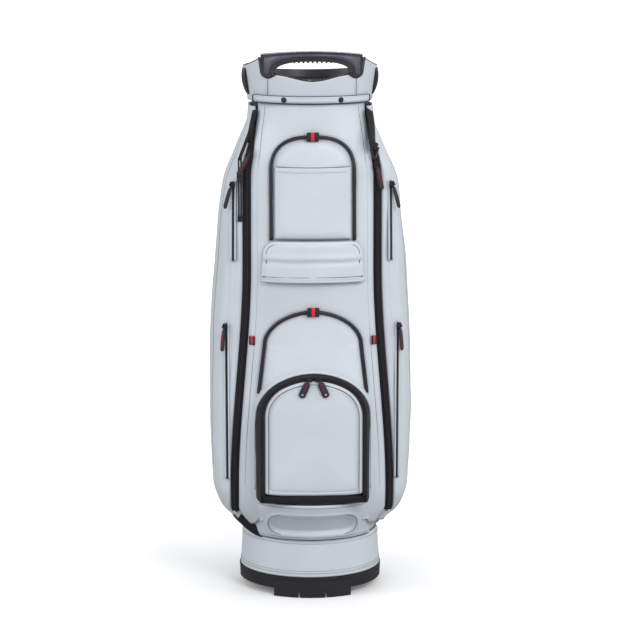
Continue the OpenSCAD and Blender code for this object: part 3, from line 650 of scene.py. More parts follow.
def front_cover():
    rows = []
    for z in [118 + 6 * i for i in range(10)] + [178 + 6.5 * i for i in range(101)]:
        a = zip_x(z) - zip_half(z) - 0.4
        row = []
        for u in soft_levels(56, 0.75):
            x = u * a
            low = 131 - math.sqrt(max(0.0, 12.5 ** 2 - min(12.5, abs(abs(x) - 106)) ** 2))
            row.append(cover_point(x, max(z, low) if z < 178 else z))
        rows.append(row)
    ob = sheet("front_cover", rows, 2.4, M["white"], "bag", weld_it=True)
    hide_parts("front_cover")
    # dark lines in the seam grooves beside the long zips: painted shadow in the grooves
    lines = []
    for side in (-1, 1):
        for z0, z1 in ((190, 822),):
            path = []
            for i in range(121):
                z = z0 + (z1 - z0) * i / 120
                x = zip_x(z) - zip_half(z) - 11.4
                p = cover_point(side * x, z)
                path.append(((p[0], p[1] - 0.1, p[2]), (0, -1, 0)))
            lines.append(tube_mesh(path, circle(0.38, 6)))
    add("front_cover_seams", merge(lines), M["seam"], "bag")


def side_surface(side, t, z):
    """A point of a side pocket's outside and the direction away from the bag: side is -1 or 1."""
    t0 = side_t(zip_x(z) + zip_half(z) + 0.4, z)
    x, y = side_point(t, z)
    x2, y2 = side_point(min(89.4, t + 0.5), z)
    tx, ty = x2 - x, y2 - y
    size = math.hypot(tx, ty) or 1
    nx, ny = ty / size, -tx / size
    start = side_point(t0, z)
    dist = math.hypot(x - start[0], y - start[1])
    p = (x, y, z)
    wob = lumps(p, 85, 2.0, 5.0 if side > 0 else 9.0) + lumps(p, 30, 0.4, 2.0)
    fold = 1.5 * math.exp(-((z - 786 - 0.25 * (y + 20)) / 12) ** 2) * smooth((dist - 20) / 40)
    crease = 1.3 * math.exp(-((dist - 24 - 0.02 * (z - 400)) / 5.0) ** 2) * smooth((z - 180) / 60) * smooth((700 - z) / 60)
    seam = 1.1 * math.exp(-((dist - 13) / 1.6) ** 2) + 0.9 * math.exp(-((t + 24) / 2.2) ** 2) * smooth((z - 200) / 40)
    curl = 11 * smooth((150 - z) / 38) ** 1.3
    out = wob * smooth(dist / 14) * smooth((z - 112) / 10) - edge_roll(dist, 6.0) * 0.9 - fold - crease - seam - curl
    return (side * (x + nx * out), y + ny * out, z), (side * nx, ny, 0)


def side_pocket(side):
    name = "side_pocket_" + ("right" if side > 0 else "left")
    rows = []
    n = 72
    for z in [112 + 3.5 * i for i in range(14)] + [161 + 6.5 * i for i in range(102) if 161 + 6.5 * i < 820] + [822]:
        t0 = side_t(zip_x(z) + zip_half(z) + 0.4, z)
        row = []
        for i in range(n + 1):
            f = i / n
            f = f ** 1.15 if f < 0.5 else f
            row.append(side_surface(side, t0 + (89.5 - t0) * f, z)[0])
        rows.append(row if side > 0 else row[::-1])
    ob = sheet(name, rows, 2.4, M["white"], "bag")
    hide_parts(name)
    # the seam between the pocket's front and its flank, as a dark line that paints the shadow in its groove
    seam_line(name + "_seam", [side_surface(side, -24, 215 + (812 - 215) * i / 120) for i in range(121)], 0.5)


def back_panel():
    rows = []
    zs = [125 + 6.5 * i for i in range(109)]
    zs = [z for z in zs if z < 826] + [828]
    for z in zs:
        row = []
        for u in soft_levels(44, 0.6):
            x = -(BACK_X - 1) * u
            y = back_y(z) + (rear_d(z) - back_y(z)) * (1 - (abs(x) / BACK_X) ** 2.5)
            d = BACK_X - 1 - abs(x)
            quilt = 0.0
            for q in (210, 400, 590, 740):
                quilt += math.exp(-((z - q) / 2.0) ** 2)
            for q in (-38, 38):
                quilt += math.exp(-((x - q) / 2.0) ** 2)
            y += 1.6 * smooth(d / 14) - edge_roll(d, 6) * 0.8 - 1.5 * min(1.0, quilt) + lumps((x, y, z), 60, 0.8, 4.0)
            row.append((x, y, z))
        rows.append(row)
    ob = sheet("back_panel", rows, 2.4, M["white"], "bag")
    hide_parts("back_panel")
    welts = [tube_mesh([((s * BACK_X, back_y(z) - 1.5, z), (0, 1, 0)) for z in zs], circle(3.4, 10)) for s in (-1, 1)]
    add("back_panel_welts", merge(welts), M["white"], "bag")
    return ob


def puffy_pad(name, rows_zr, back, mat, node, nx=40, wob=0.6, seed=1.0, extra=None):
    """A padded pocket on the front skin. rows_zr: list of (z, half-width, rise(x, z))."""
    rows = []
    for (z, a, rise) in rows_zr:
        row = []
        for u in soft_levels(nx, 0.85):
            x = u * a
            r = rise(x, z)
            p, nrm = on_front(x, z, 0.0)
            r += lumps((x, z, 0), 45, wob, seed) * clamp01(r / 4)
            q = p + Vector((0, -1, 0)) * r
            row.append(tuple(q))
        rows.append(row)
    m, n = len(rows), len(rows[0])
    verts = [v for r in rows for v in r]
    k = len(verts)
    for (z, a, rise) in rows_zr:
        for u in soft_levels(nx, 0.85):
            x = u * a
            verts.append((x, -front_depth(x, z) - back, z))
    faces = []
    for j in range(m - 1):
        for i in range(n - 1):
            a = j * n + i
            faces.append((a, a + 1, a + n + 1, a + n))
            faces.append((k + a, k + a + n, k + a + n + 1, k + a + 1))
    for i in range(n - 1):
        faces.append((i + 1, i, k + i, k + i + 1))
        a = (m - 1) * n + i
        faces.append((a, a + 1, k + a + 1, k + a))
    for j in range(m - 1):
        a, b = j * n, (j + 1) * n
        faces.append((a, b, k + b, k + a))
        a, b = j * n + n - 1, (j + 1) * n + n - 1
        faces.append((b, a, k + a, k + b))
    ob = new_object(name, verts, faces, mat, "bag")
    weld(ob)
    if node:
        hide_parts(node)
    return ob


def arch_half(z, half, spring, top, power):
    if z <= spring:
        return half
    return half * (1 - clamp01((z - spring) / (top - spring)) ** power) ** (1 / power)


def arch_rows(bottom, spring, top, n_leg, n_arch):
    legs = [bottom + (spring - bottom) * i / n_leg for i in range(n_leg)]
    return legs + [spring + (top - spring) * math.sin(rad(89.2 * i / n_arch)) for i in range(n_arch + 1)]


def upper_arch(z, grow=0.0):
    return arch_half(z, 65 + grow, 715, 772 + grow, 2.6)


def ball_arch(z, grow=0.0):
    if z <= 432:
        return grow + 87 - 10.3 * (z - 345) / 87
    return arch_half(z, 76.7 + grow, 432, 485 + grow, 1.9)


def round_rise(x, z, half, top, spring, bottom, lam, full, edge):
    d = min(half(z) - abs(x) if z < spring else 1e9, 1e9)
    if z >= spring:
        # distance to the curved top, taken radially
        cy = spring
        ry = top - spring
        rx = half(spring)
        q = math.hypot(x / rx, (z - cy) / ry)
        d = (1 - q) * min(rx, ry) * 0.9
    if bottom is not None:
        d = min(d, z - bottom)
    d = max(0.0, d)
    f = 1 - (1 - clamp01(d / lam)) ** 2.2
    return edge + (full - edge) * f


def upper_pocket():
    def rise(x, z):
        return round_rise(x, z, upper_arch, 772, 715, 606, 16, 8.2, 2.2)
    rows = [(z, upper_arch(z), rise) for z in arch_rows(606, 715, 772, 22, 22)]
    ob = puffy_pad("upper_pocket", rows, 0.3, M["white"], "upper_pocket", wob=0.5, seed=3.3)
    settle(ob, lambda p: smooth((-p.y - front_depth(p.x, p.z) - 2.4) / 5), 3.0, 3.0)

    # the slip panel ends in a hemmed mouth that stands a little off the pocket
    def slip(x, z):
        r = round_rise(x, z, lambda q: 62.5, 9e9, 9e9, 608, 14, 10.8, 6.2)
        return r + 0.3 * smooth((z - 716) / 8)
    zs = [608 + 4.5 * i for i in range(26)] + [722 + 1.0 * i for i in range(6)]
    zs = sorted(set(zs))

    def sag(x):
        return -1.6 * (1 - (x / 64.0) ** 2)
    rows = []
    for z in zs:
        row = []
        for u in soft_levels(40, 0.7):
            x = u * 62.5
            zz = z + sag(x) * smooth((z - 640) / 87)
            p, nrm = on_front(x, zz)
            r = slip(x, z) + lumps((x, zz, 0), 50, 0.5, 6.0)
            row.append((x, -front_depth(x, zz) - r, zz))
        rows.append(row)
    ob = sheet("slip_panel", rows, lambda j, i: 1.9, M["white"], "bag")
    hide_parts("slip_panel")
    path = []
    for i in range(61):
        x = -61 + 122 * i / 60
        z = 719.6 + sag(x)
        path.append(((x, -front_depth(x, z) - slip(x, 719.6) - 0.5, z), (0, -1, 0.1)))
    add("slip_hem_stitches", stitches(path), M["thread_white"], "bag")
    # dark line along the hemmed mouth: painted shadow in the pocket's opening
    mouth = []
    for i in range(61):
        x = -60.5 + 121 * i / 60
        z = 727.3 + sag(x)
        mouth.append(((x, -front_depth(x, z) - slip(x, z) + 0.6, z), (0, -1, 0.1)))
    seam_line("slip_mouth_line", mouth, 0.7)


def piping_path(arch, bottom, spring, top, out, lift, n=26):
    zs = arch_rows(bottom, spring, top, 26, n)
    side = []
    for z in zs:
        x = arch(z, out)
        p, nrm = on_front(x, z, 0)
        side.append(((-x, -front_depth(x, z) - lift, z), (-nrm[0], nrm[1], nrm[2])))
    return side + [((-p[0], p[1], p[2]), (-n_[0], n_[1], n_[2])) for (p, n_) in reversed(side)]


def pipings():
    up = piping_path(upper_arch, 606, 715, 772 + 3.8, 3.8, 4.4)
    ball = piping_path(ball_arch, 350, 432, 485 + 3.8, 3.8, 4.4)
    ob = add("arch_pipings", merge([tube_mesh(up, circle(3.0, 12)), tube_mesh(ball, circle(3.0, 12))]),
             M["piping"], "bag")
    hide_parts("arch_pipings")
    # the stitches outside each piping
    for name, path, arch, args in (("upper", up, upper_arch, (606, 715, 772 + 8.6, 8.6)),
                                   ("ball", ball, ball_arch, (352, 432, 485 + 8.6, 8.6))):
        p = piping_path(arch, args[0], args[1], args[2], args[3], 1.5)
        add(name + "_piping_stitches", stitches(p, 4.0, 2.6, 0.36), M["thread_white"], "bag")


def ball_pocket():
    def rise(x, z):
        full = 4 + 13 * smooth((485 - z) / 150)
        return round_rise(x, z, ball_arch, 485, 432, None, 18, full, 2.6)
    rows = [(z, ball_arch(z), rise) for z in arch_rows(340, 432, 485, 24, 20)]
    ob = puffy_pad("ball_pocket", rows, 0.3, M["white_panel"], "ball_pocket", wob=0.7, seed=8.1)
    settle(ob, lambda p: smooth((-p.y - front_depth(p.x, p.z) - 2.8) / 5), 4.0, 5.0)
    return ob


def flap_half(z):
    return 86 - 5 * (z - 538) / 64


def flap():
    def rise(x, z):
        d = min(82.5 - abs(x), z - 541)
        return 5.7 + 2.6 * (1 - (1 - clamp01(d / 10)) ** 2)
    rows = [(z, flap_half(z) - 4, rise) for z in [541 + 3.8 * i for i in range(16)]]
    puffy_pad("flap_pouch", rows, 0.3, M["white"], "flap_pouch", wob=0.3, seed=2.0)
    # the flap: rounded upper corners, a faint crease half-way down and a turned lower edge
    zs = [538 + 1.5 * i for i in range(4)] + [544 + 3.0 * i for i in range(20)] + [602.5, 604, 605]
    out = []
    for z in zs:
        a = flap_half(z)
        if z > 585:
            a -= 20 - math.sqrt(max(0.0, 400 - (z - 585) ** 2))
        row = []
        for u in soft_levels(56, 0.7):
            x = u * a
            over = math.hypot(max(0.0, abs(x) - flap_half(z) + 20), max(0.0, z - 585))
            d = 20 - over if abs(x) > flap_half(z) - 20 and z > 585 else min(a - abs(x), 605 - z)
            body = 9.4 + 2.8 * (1 - (1 - clamp01(d / 9)) ** 2.2) - 1.3 * math.exp(-((d - 5.2) / 1.0) ** 2)
            crease = 2.2 * math.exp(-((z - 571 - lumps((x, 0, 0), 60, 3, 1)) / 3.4) ** 2) - 1.5 * math.exp(-((z - 578) / 4) ** 2)
            hem = 0.8 * math.exp(-((z - 545.5) / 1.3) ** 2)
            r = body - crease - hem + lumps((x, z, 0), 40, 0.5, 7.0)
            row.append((x, -front_depth(x, z) - r, z))
        out.append(row)
    ob = sheet("pocket_flap", out, lambda j, i: 1.7, M["white"], "slip_flap", weld_it=True)
    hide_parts("pocket_flap")
    for k, z in (("lower", 543.2),):
        a = flap_half(z) - 3.5
        path = []
        for i in range(81):
            x = -a + 2 * a * i / 80
            path.append(((x, -front_depth(x, z) - 12.4 + (0.6 if abs(x) > a - 4 else 0), z), (0, -1, 0)))
        add("flap_stitches_" + k, stitches(path, 4.0, 2.7, 0.38), M["thread_white"], "slip_flap")
    # dark lines of the folded edge, painted shadow of the fold: round the top corners, and along the lower hem
    edge = []
    for k in range(101):
        f = -1 + k / 50
        inset = 5.2
        a, r = flap_half(590) - inset, 20 - inset
        run = a - r + r * math.pi / 2 + 24
        q = abs(f) * run
        if q < a - r:
            x, z = q, 605 - inset
        elif q < a - r + r * math.pi / 2:
            w = (q - (a - r)) / r
            x, z = a - r + r * math.sin(w), 605 - inset - r + r * math.cos(w)
        else:
            x, z = a, 605 - inset - r - (q - (a - r) - r * math.pi / 2)
        x = math.copysign(x, f)
        edge.append(((x, -front_depth(x, z) - 11.0, z), (0, -1, 0)))
    seam_line("flap_edge_line", edge, 0.4, "slip_flap")
    for k, z, d in (("under", 538.3, 10.0), ("over", 546.6, 11.6)):
        a = flap_half(z) - 2
        low = [((-a + 2 * a * i / 60, -front_depth(-a + 2 * a * i / 60, z) - d, z), (0, -1, 0)) for i in range(61)]
        seam_line("flap_hem_line_" + k, low, 0.55, "slip_flap")
    return ob


# ------------------------------------------------------------------ zipped front pocket
ARC_A, CORNER_R, ARC_R = 28.5, 60.0, 118.0
ARC_Z = 385 - ARC_R
CORNER_X = (ARC_R - CORNER_R) * math.sin(rad(ARC_A))
CORNER_Z = ARC_Z + (ARC_R - CORNER_R) * math.cos(rad(ARC_A))
PANEL_D = 162.0


def arch_outline(grow, bottom, n=14, n_leg=18):
    """Points (x, z) from the right foot over the top to the left foot."""
    right = [(CORNER_X + CORNER_R + grow, bottom + (CORNER_Z - bottom) * i / n_leg) for i in range(n_leg)]
    for i in range(n + 1):
        a = rad((90 - ARC_A) * i / n)
        right.append((CORNER_X + (CORNER_R + grow) * math.cos(a), CORNER_Z + (CORNER_R + grow) * math.sin(a)))
    for i in range(1, n + 1):
        a = rad(ARC_A * (1 - i / n))
        right.append(((ARC_R + grow) * math.sin(a), ARC_Z + (ARC_R + grow) * math.cos(a)))
    return right + [(-x, z) for (x, z) in reversed(right[:-1])]


def front_panel():
    """Padded panel: rings of the arch shrinking towards the middle, so that its edge follows the zip."""
    rings = []
    steps = [(0, 0.0), (1.2, 1.5), (3.0, 2.5), (5.2, 3.1), (6.4, 2.3), (7.4, 2.3), (8.8, 3.4), (12, 4.0), (20, 4.6),
             (32, 5.0), (46, 5.3)]
    bottom = 184.0

    def face(x, z, ins, h):
        return (x, -(PANEL_D - 3.2 + h - 0.00025 * x * x) - lumps((x, z, 0), 42, 0.45, 3.0) * clamp01(ins / 10), z)
    for (ins, h) in steps:
        rings.append([face(x, z, ins, h) for (x, z) in arch_outline(-6.2 - ins, bottom + ins * 0.9, 14, 22)])
    n = len(rings[0])
    cx, cz = 0.0, 285.0
    for k in (0.78, 0.55, 0.3):
        rings.append([face(cx + (x - cx) * k, cz + (z - cz) * k, 46, 5.4) for (x, y, z) in rings[len(steps) - 1]])
    verts = [p for r in rings for p in r] + [face(cx, cz, 46, 5.5)]
    faces = []
    for j in range(len(rings) - 1):
        for i in range(n):
            a, b = j * n + i, j * n + (i + 1) % n
            faces.append((a, a + n, b + n, b))
    last = (len(rings) - 1) * n
    for i in range(n):
        faces.append((last + i, len(verts) - 1, last + (i + 1) % n))
    k = len(verts)
    verts += [(x, -(PANEL_D - 4.2), z) for (x, y, z) in rings[0]]
    for i in range(n):
        a, b = i, (i + 1) % n
        faces.append((a, b, k + b, k + a))
    faces.append(tuple(k + i for i in reversed(range(n))))
    ob = new_object("front_panel", verts, faces, M["white_panel"], "pocket_panel")
    weld(ob, 0.00005)
    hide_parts("front_panel")
    settle(ob, lambda p: smooth((-p.y - PANEL_D - 0.2) / 2.2), 2.0, 2.5)
    path = [((x, -(PANEL_D - 0.6), z), (0, -1, 0)) for (x, z) in arch_outline(-12.9, 187, 14, 30)]
    seam_line("front_panel_line", path, 0.42, "pocket_panel")
    path = [((x, -(PANEL_D + 0.6), z), (0, -1, 0)) for (x, z) in arch_outline(-16.4, 190, 14, 30)]
    add("front_panel_stitches", stitches(path, 4.0, 2.8, 0.34), M["thread_white"], "pocket_panel")
    return ob


def zip_teeth(outline, depth, inner):
    """One row of teeth along an outline of (x, z): small blocks across the line."""
    pts = resample([((x, 0, z), (0, -1, 0)) for (x, z) in outline], 2.2)
    parts = []
    for k in range(len(pts) - 1):
        p = Vector(pts[k][0])
        t = (Vector(pts[k + 1][0]) - p).normalized()
        s = Vector((0, -1, 0)).cross(t)
        c = p + Vector((0, -depth, 0)) + s * inner
        v = []
        for dy, sc in ((0.0, 1.0), (-0.9, 0.72)):
            for a, b in ((-1, -1), (1, -1), (1, 1), (-1, 1)):
                v.append(c + s * (a * 1.15 * sc) + t * (b * 0.72 * sc) + Vector((0, dy, 0)))
        parts.append((v, [(3, 2, 1, 0), (4, 5, 6, 7), (0, 1, 5, 4), (1, 2, 6, 5), (2, 3, 7, 6), (3, 0, 4, 7)]))
    return merge(parts)


def ribbon_along(outline, inner, outer, depth, thick):
    """Flat band between two offsets of the arch."""
    a = arch_outline(inner, outline, 14, 22)
    b = arch_outline(outer, outline, 14, 22)
    n = len(a)
    verts = []
    for d in (depth, depth - thick):
        for k in range(n):
            verts.append((a[k][0], -d, a[k][1]))
            verts.append((b[k][0], -d, b[k][1]))
    faces = []
    m = 2 * n
    for k in range(n - 1):
        i = 2 * k
        faces.append((i, i + 1, i + 3, i + 2))
        faces.append((m + i, m + i + 2, m + i + 3, m + i + 1))
        faces.append((i, i + 2, m + i + 2, m + i))
        faces.append((i + 1, m + i + 1, m + i + 3, i + 3))
    faces.append((0, m, m + 1, 1))
    i = 2 * (n - 1)
    faces.append((i, i + 1, m + i + 1, m + i))
    return verts, faces


def front_zip():
    outer = add("arch_zip_outer", ribbon_along(184.2, -2.9, 0.2, PANEL_D - 1.7, 2.0), M["tape"], "bag")
    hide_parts("arch_zip_outer")
    inner = add("arch_zip_inner", ribbon_along(184.2, -6.6, -3.1, PANEL_D - 1.7, 2.0), M["tape"], "pocket_panel")
    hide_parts("arch_zip_inner")
    mid_out = arch_outline(-1.75, 186, 16, 30)
    mid_in = arch_outline(-4.25, 186, 16, 30)
    add("arch_teeth_outer", zip_teeth(mid_out, PANEL_D - 1.7, 0.0), M["teeth"], "bag")
    add("arch_teeth_inner", zip_teeth(mid_in, PANEL_D - 1.7, 0.0), M["teeth"], "pocket_panel")


def pocket_lip():
    """White sleeve round the root of the pocket's wall: deepest over the top, ending in a rolled edge."""
    outline = arch_outline(0.0, 186, 16, 22)
    rows, edge = [], []
    for k in range(5):
        row = []
        for i, (x, z) in enumerate(outline):
            front = 111 + 37 * smooth((z - 285) / 85)
            d = 100 + (front - 100) * k / 4
            q = arch_outline(7 * (158 - d) / 54 + 3.2, 186, 16, 22)[i]
            row.append((q[0], -d, q[1]))
            if k == 4:
                edge.append(((q[0], -d, q[1]), (0, -1, 0)))
        rows.append(row[::-1])
    v, f = closed_sheet(rows, 1.2)
    add("zip_pocket_sleeve", merge([(v, f), tube_mesh(edge, circle(1.7, 10))]), M["white"], "bag")


def gusset():
    """The pocket's black wall: soft, bowed a little outwards between the zip and the body."""
    rings = []
    depths = [158, 156.5, 154, 150, 145, 138, 130, 122, 112, 104]
    for d in depths:
        f = (158 - d) / 54
        grow = 7 * f + 1.6 * math.sin(math.pi * f) + 0.4
        pts = arch_outline(grow, 172.6, 14, 18)
        rings.append([(x + lumps((x, d, z), 30, 0.5, 1.7) * f, -d, z) for (x, z) in pts])
    n = len(rings[0])
    verts, faces = [], []
    for r in rings:
        verts += r
    for r, d in zip(rings, depths):
        verts += [((abs(x) - 2.2) * (1 if x > 0 else -1) if abs(x) > 3 else x, y, z - (2.2 if z > 300 else 0)) for (x, y, z) in r]
    k = len(rings) * n
    for j in range(len(rings) - 1):
        for i in range(n - 1):
            a = j * n + i
            faces.append((a, a + 1, a + n + 1, a + n))
            faces.append((k + a, k + a + n, k + a + n + 1, k + a + 1))
    for i in range(n - 1):
        faces.append((i, k + i, k + i + 1, i + 1))
        a = (len(rings) - 1) * n + i
        faces.append((a, a + 1, k + a + 1, k + a))
    for i in (0, n - 1):
        for j in range(len(rings) - 1):
            a, b = j * n + i, (j + 1) * n + i
            faces.append((a, b, k + b, k + a) if i == 0 else (b, a, k + a, k + b))
    walls = (verts, faces)
    # floor of the pocket and the strip that the panel folds on
    floor = []
    for (z0, z1, d0, d1, w0, w1) in ((172.6, 175, 104, 158.5, 93, 88.2),):
        v = [(-w0, -d0, z0), (w0, -d0, z0), (w1, -d1, z0), (-w1, -d1, z0),
             (-w0, -d0, z1), (w0, -d0, z1), (w1, -d1, z1), (-w1, -d1, z1)]
        floor.append((v, [(0, 1, 2, 3), (7, 6, 5, 4), (0, 4, 5, 1), (1, 5, 6, 2), (2, 6, 7, 3), (3, 7, 4, 0)]))
    lip = []
    for j in range(9):
        z = 171.5 + 12.6 * j / 8
        bulge = 1.6 * math.sin(math.pi * j / 8)
        lip.append([(x, -(158.6 + bulge - 0.0006 * x * x), z) for x in [-88 + 176 * i / 40 for i in range(41)]])
    ob = add("zip_gusset", merge([walls] + floor), M["black_cloth"], "bag")
    weld(ob, 0.00005)
    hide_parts("zip_gusset")
    s = sheet("pocket_fold_strip", lip, 1.4, M["webbing"], "bag")
    lin = []
    for j in range(15):
        z = 178 + 200 * j / 14
        half = 82 if z < 330 else 82 * math.sqrt(max(0.02, 1 - ((z - 330) / 52) ** 2))
        lin.append([(half * u, -front_depth(half * u, z) - 3.4, z) for u in [-1 + i / 8 for i in range(17)]])
    sheet("pocket_lining", lin, 1.2, M["lining"], "bag")


# ------------------------------------------------------------------ boot, base, collar
def boot_r(s, z):
    return (117.5 + 5 * (z - 98) / 70
            + 39 * smooth((z - 92) / 78) * (1 - min(1.0, abs(s)) ** 2.2) ** 0.6)


def boot_point(s, z, out=0.0):
    r = boot_r(s, z) + out
    a = rad(s * (57 - 7 * (z - 98) / 70))
    return (r * math.sin(a), -r * math.cos(a), z)


def oval_dist(x, z):
    """Signed distance, mm, outside the boot's oval (negative inside)."""
    cx = max(0.0, abs(x) - 54.5)
    return math.hypot(cx, z - 127.5) - 18.5


def boot():
    rows = []
    zs = [98.3, 99.5, 101] + [103.5 + 2.2 * i for i in range(28)] + [164.5, 166, 167.2, 168]
    for z in zs:
        row = []
        for u in soft_levels(96, 0.35):
            p = boot_point(u, z)
            d = oval_dist(p[0], z)
            lip = 2.2 * math.exp(-((d - 3.2) / 2.0) ** 2)
            dish = -7.0 * smooth(-d / 7)
            edge = -edge_roll(min((1 - abs(u)) * 96, z - 98.3, 168 - z), 2.5) * 0.8
            out = lip + dish + edge + lumps(p, 35, 0.5, 2.2)
            row.append(boot_point(u, z, out))
        rows.append(row)
    ob = sheet("boot", rows, lambda j, i: 3.6, M["white"], "bag")
    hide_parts("boot", "boot_oval")
    for k, z0 in (("top", 162.5), ("bottom", 103.2), ("edge", 98.6)):
        path = []
        for i in range(121):
            u = -0.97 + 1.94 * i / 120
            p = boot_point(u, z0, 0.15)
            path.append((p, (p[0], p[1], 0)))
        # the dark edge line is painted shadow along the boot's lower edge
        if k == "edge":
            seam_line("boot_edge_line", path, 0.6)
        else:
            add("boot_stitches_" + k, stitches(path, 4.2, 2.7, 0.5), M["thread_grey"], "bag")
    # the dark line round the oval: painted shadow at the oval's rim
    ring = []
    for i in range(120):
        a = 2 * math.pi * i / 120
        x = 54.5 * (1 if math.cos(a) > 0 else -1) + 19.6 * math.cos(a)
        z = 127.5 + 19.6 * math.sin(a)
        ring.append((x, z))
    flat = sorted(ring, key=lambda q: math.atan2((q[1] - 127.5) * 3, q[0]))
    path = []
    for (x, z) in flat:
        # find the boot's own parameter for this x
        lo, hi = 0.0, 1.0
        for _ in range(30):
            mid = (lo + hi) / 2
            if boot_point(mid, z)[0] < abs(x):
                lo = mid
            else:
                hi = mid
        p = boot_point(math.copysign(lo, x), z, 1.2)
        path.append((p, (p[0], p[1], 0)))
    add("boot_oval_line", tube_mesh(path, circle(0.4, 6), closed=True), M["seam"], "bag")


def ring_rows(profile, a0, a1, n):
    """profile: list of (r, z) outside, bottom to top; angles in degrees counter-clockwise from +X."""
    rows = []
    for (r, z) in profile:
        rows.append([(r * math.cos(rad(a0 + (a1 - a0) * i / n)), r * math.sin(rad(a0 + (a1 - a0) * i / n)), z)
                     for i in range(n + 1)])
    return rows


def closed_ring(name, outer, inner, mat, body, n=160, f=None):
    """A turned ring from an outer and an inner profile of (r, z), bottom to top, with f(angle, r, z) moving its outside."""
    prof = outer + list(reversed(inner))
    m = len(prof)
    verts = []
    for i in range(n):
        a = 2 * math.pi * i / n
        for k, (r, z) in enumerate(prof):
            rr = r + (f(a, r, z) if f and k < len(outer) else 0.0)
            verts.append((rr * math.cos(a), rr * math.sin(a), z))
    faces = []
    for i in range(n):
        for k in range(m):
            a, b = i * m + k, i * m + (k + 1) % m
            c, d = ((i + 1) % n) * m + (k + 1) % m, ((i + 1) % n) * m + k
            faces.append((a, d, c, b))
    return new_object(name, verts, faces, mat, body)


def base():
    def wob(a, r, z):
        p = (r * math.cos(a), r * math.sin(a), z)
        return lumps(p, 55, 0.5, 1.0)
    outer = [(118.3, 34.6), (118.9, 35.4), (118.9, 37), (118.5, 39.2), (118.3, 45), (117.6, 60), (116.8, 75),
             (116.1, 88), (115.5, 93.5), (115.1, 96), (114.6, 97.6), (113.8, 98.0)]
    inner = [(115.9, 34.6), (112.2, 98.0)]
    ob = closed_ring("base_band", outer, inner, M["white"], "bag", f=wob)
    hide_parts("base_band")
    for k, (r, z) in (("low", (118.6, 41.0)), ("low2", (118.3, 45.0)), ("high", (115.7, 91.5))):
        path = [((r * math.cos(2 * math.pi * i / 240), r * math.sin(2 * math.pi * i / 240), z),
                 (math.cos(2 * math.pi * i / 240), math.sin(2 * math.pi * i / 240), 0)) for i in range(241)]
        add("base_stitches_" + k, stitches(path, 4.4, 2.5, 0.55, 0.2), M["thread_grey"], "bag")
    outer = [(111.5, 98.3), (111.9, 105), (111.5, 114), (110.6, 124)]
    ob = closed_ring("base_neck", outer, [(107, 98.3), (107, 124)], M["white"], "bag", n=120, f=wob)
    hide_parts("base_neck")


def collar_r(z):
    return 104.5 + (z - 830) * 0.139


def rim_z(x, y):
    """Top edge of the collar at plan position (x, y)."""
    if y < 0:
        ax = abs(x)
        if ax <= 62:
            return 866 + 5 * (1 - math.cos(math.pi * x / 62))
        if ax <= 84:
            return 883 - math.sqrt(max(0.0, 121 - (ax - 73) ** 2)) if True else 0
        return 904 - 34.5 * (ax - 83) / 57
    return min(904 - 34.5 * max(0.0, abs(x) - 83) / 57, 887 + (867 - 887) * y / 130)


def collar():
    """Cover, rim bead and the seams down from the notches."""
    n = 420
    angles = [2 * math.pi * i / n - math.pi / 2 for i in range(n)]
    rims, tops = [], []
    for a in angles:
        # the rim's plan radius depends on its height, so settle it in a few steps
        z = 880.0
        for _ in range(12):
            r = collar_r(z)
            x, y = r * math.cos(a), r * math.sin(a)
            zz = notch_rim(x, y)
            z = 0.5 * z + 0.5 * zz
        tops.append(z)
    verts, faces = [], []
    levels = 16
    for i, a in enumerate(angles):
        z1 = tops[i]
        for k in range(levels + 1):
            z = 830 + (z1 - 830) * k / levels
            r = collar_r(z) + lumps((100 * math.cos(a), 100 * math.sin(a), z), 40, 0.5, 2.4) * smooth((z1 - z) / 6)
            x = r * math.cos(a)
            if math.sin(a) < 0:
                seam = math.exp(-((abs(x) - 73) / 1.0) ** 2)
                r -= 0.9 * seam
            verts.append((r * math.cos(a), r * math.sin(a), z))
        for k in range(levels, -1, -1):
            z = 830 + (z1 - 830) * k / levels
            r = collar_r(z) - 2.4
            verts.append((r * math.cos(a), r * math.sin(a), z))
    m = 2 * (levels + 1)
    for i in range(n):
        for k in range(m):
            a, b = i * m + k, i * m + (k + 1) % m
            c, d = ((i + 1) % n) * m + (k + 1) % m, ((i + 1) % n) * m + k
            faces.append((a, d, c, b))
    ob = new_object("collar_cover", verts, faces, M["white"], "bag")
    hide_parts("collar_cover")
    # rim bead
    path = []
    for i, a in enumerate(angles):
        z = tops[i]
        r = collar_r(z) - 1.2
        path.append(((r * math.cos(a), r * math.sin(a), z + 0.4), (math.cos(a), math.sin(a), 0.05)))
    add("collar_rim_hem", tube_mesh(path, circle(1.4, 10), closed=True), M["piping"], "bag")
    beads = []
    for side in (-1, 1):
        run = [q for q in path if q[0][1] < 0 and 60 < side * q[0][0] < 86.5]
        beads.append(tube_mesh(run, circle(3.3, 12)))
    add("notch_beads", merge(beads), M["piping"], "bag")
    # the seam stitches beside the vertical seams
    for side in (-1, 1):
        line = []
        for k in range(24):
            z = 842.5 + 29 * k / 23
            r = collar_r(z) - 0.5
            line.append(((side * 73, -math.sqrt(r * r - 73 * 73), z), (side * 73, -80, 0)))
        # dark line in the seam's groove: painted shadow of the seam
        seam_line("collar_seam_" + ("right" if side > 0 else "left"), line, 0.45)
        for dx in (-3.2, 3.2):
            pts = []
            for k in range(30):
                z = 842 + 26 * k / 29
                x = side * 73 + dx
                r = collar_r(z) + 0.1
                y = -math.sqrt(r * r - x * x)
                pts.append(((x, y, z), (x, y, 0)))
            add("collar_stitches_%s_%s" % ("r" if side > 0 else "l", "a" if dx < 0 else "b"),
                stitches(pts, 3.8, 2.5, 0.34), M["thread_white"], "bag")


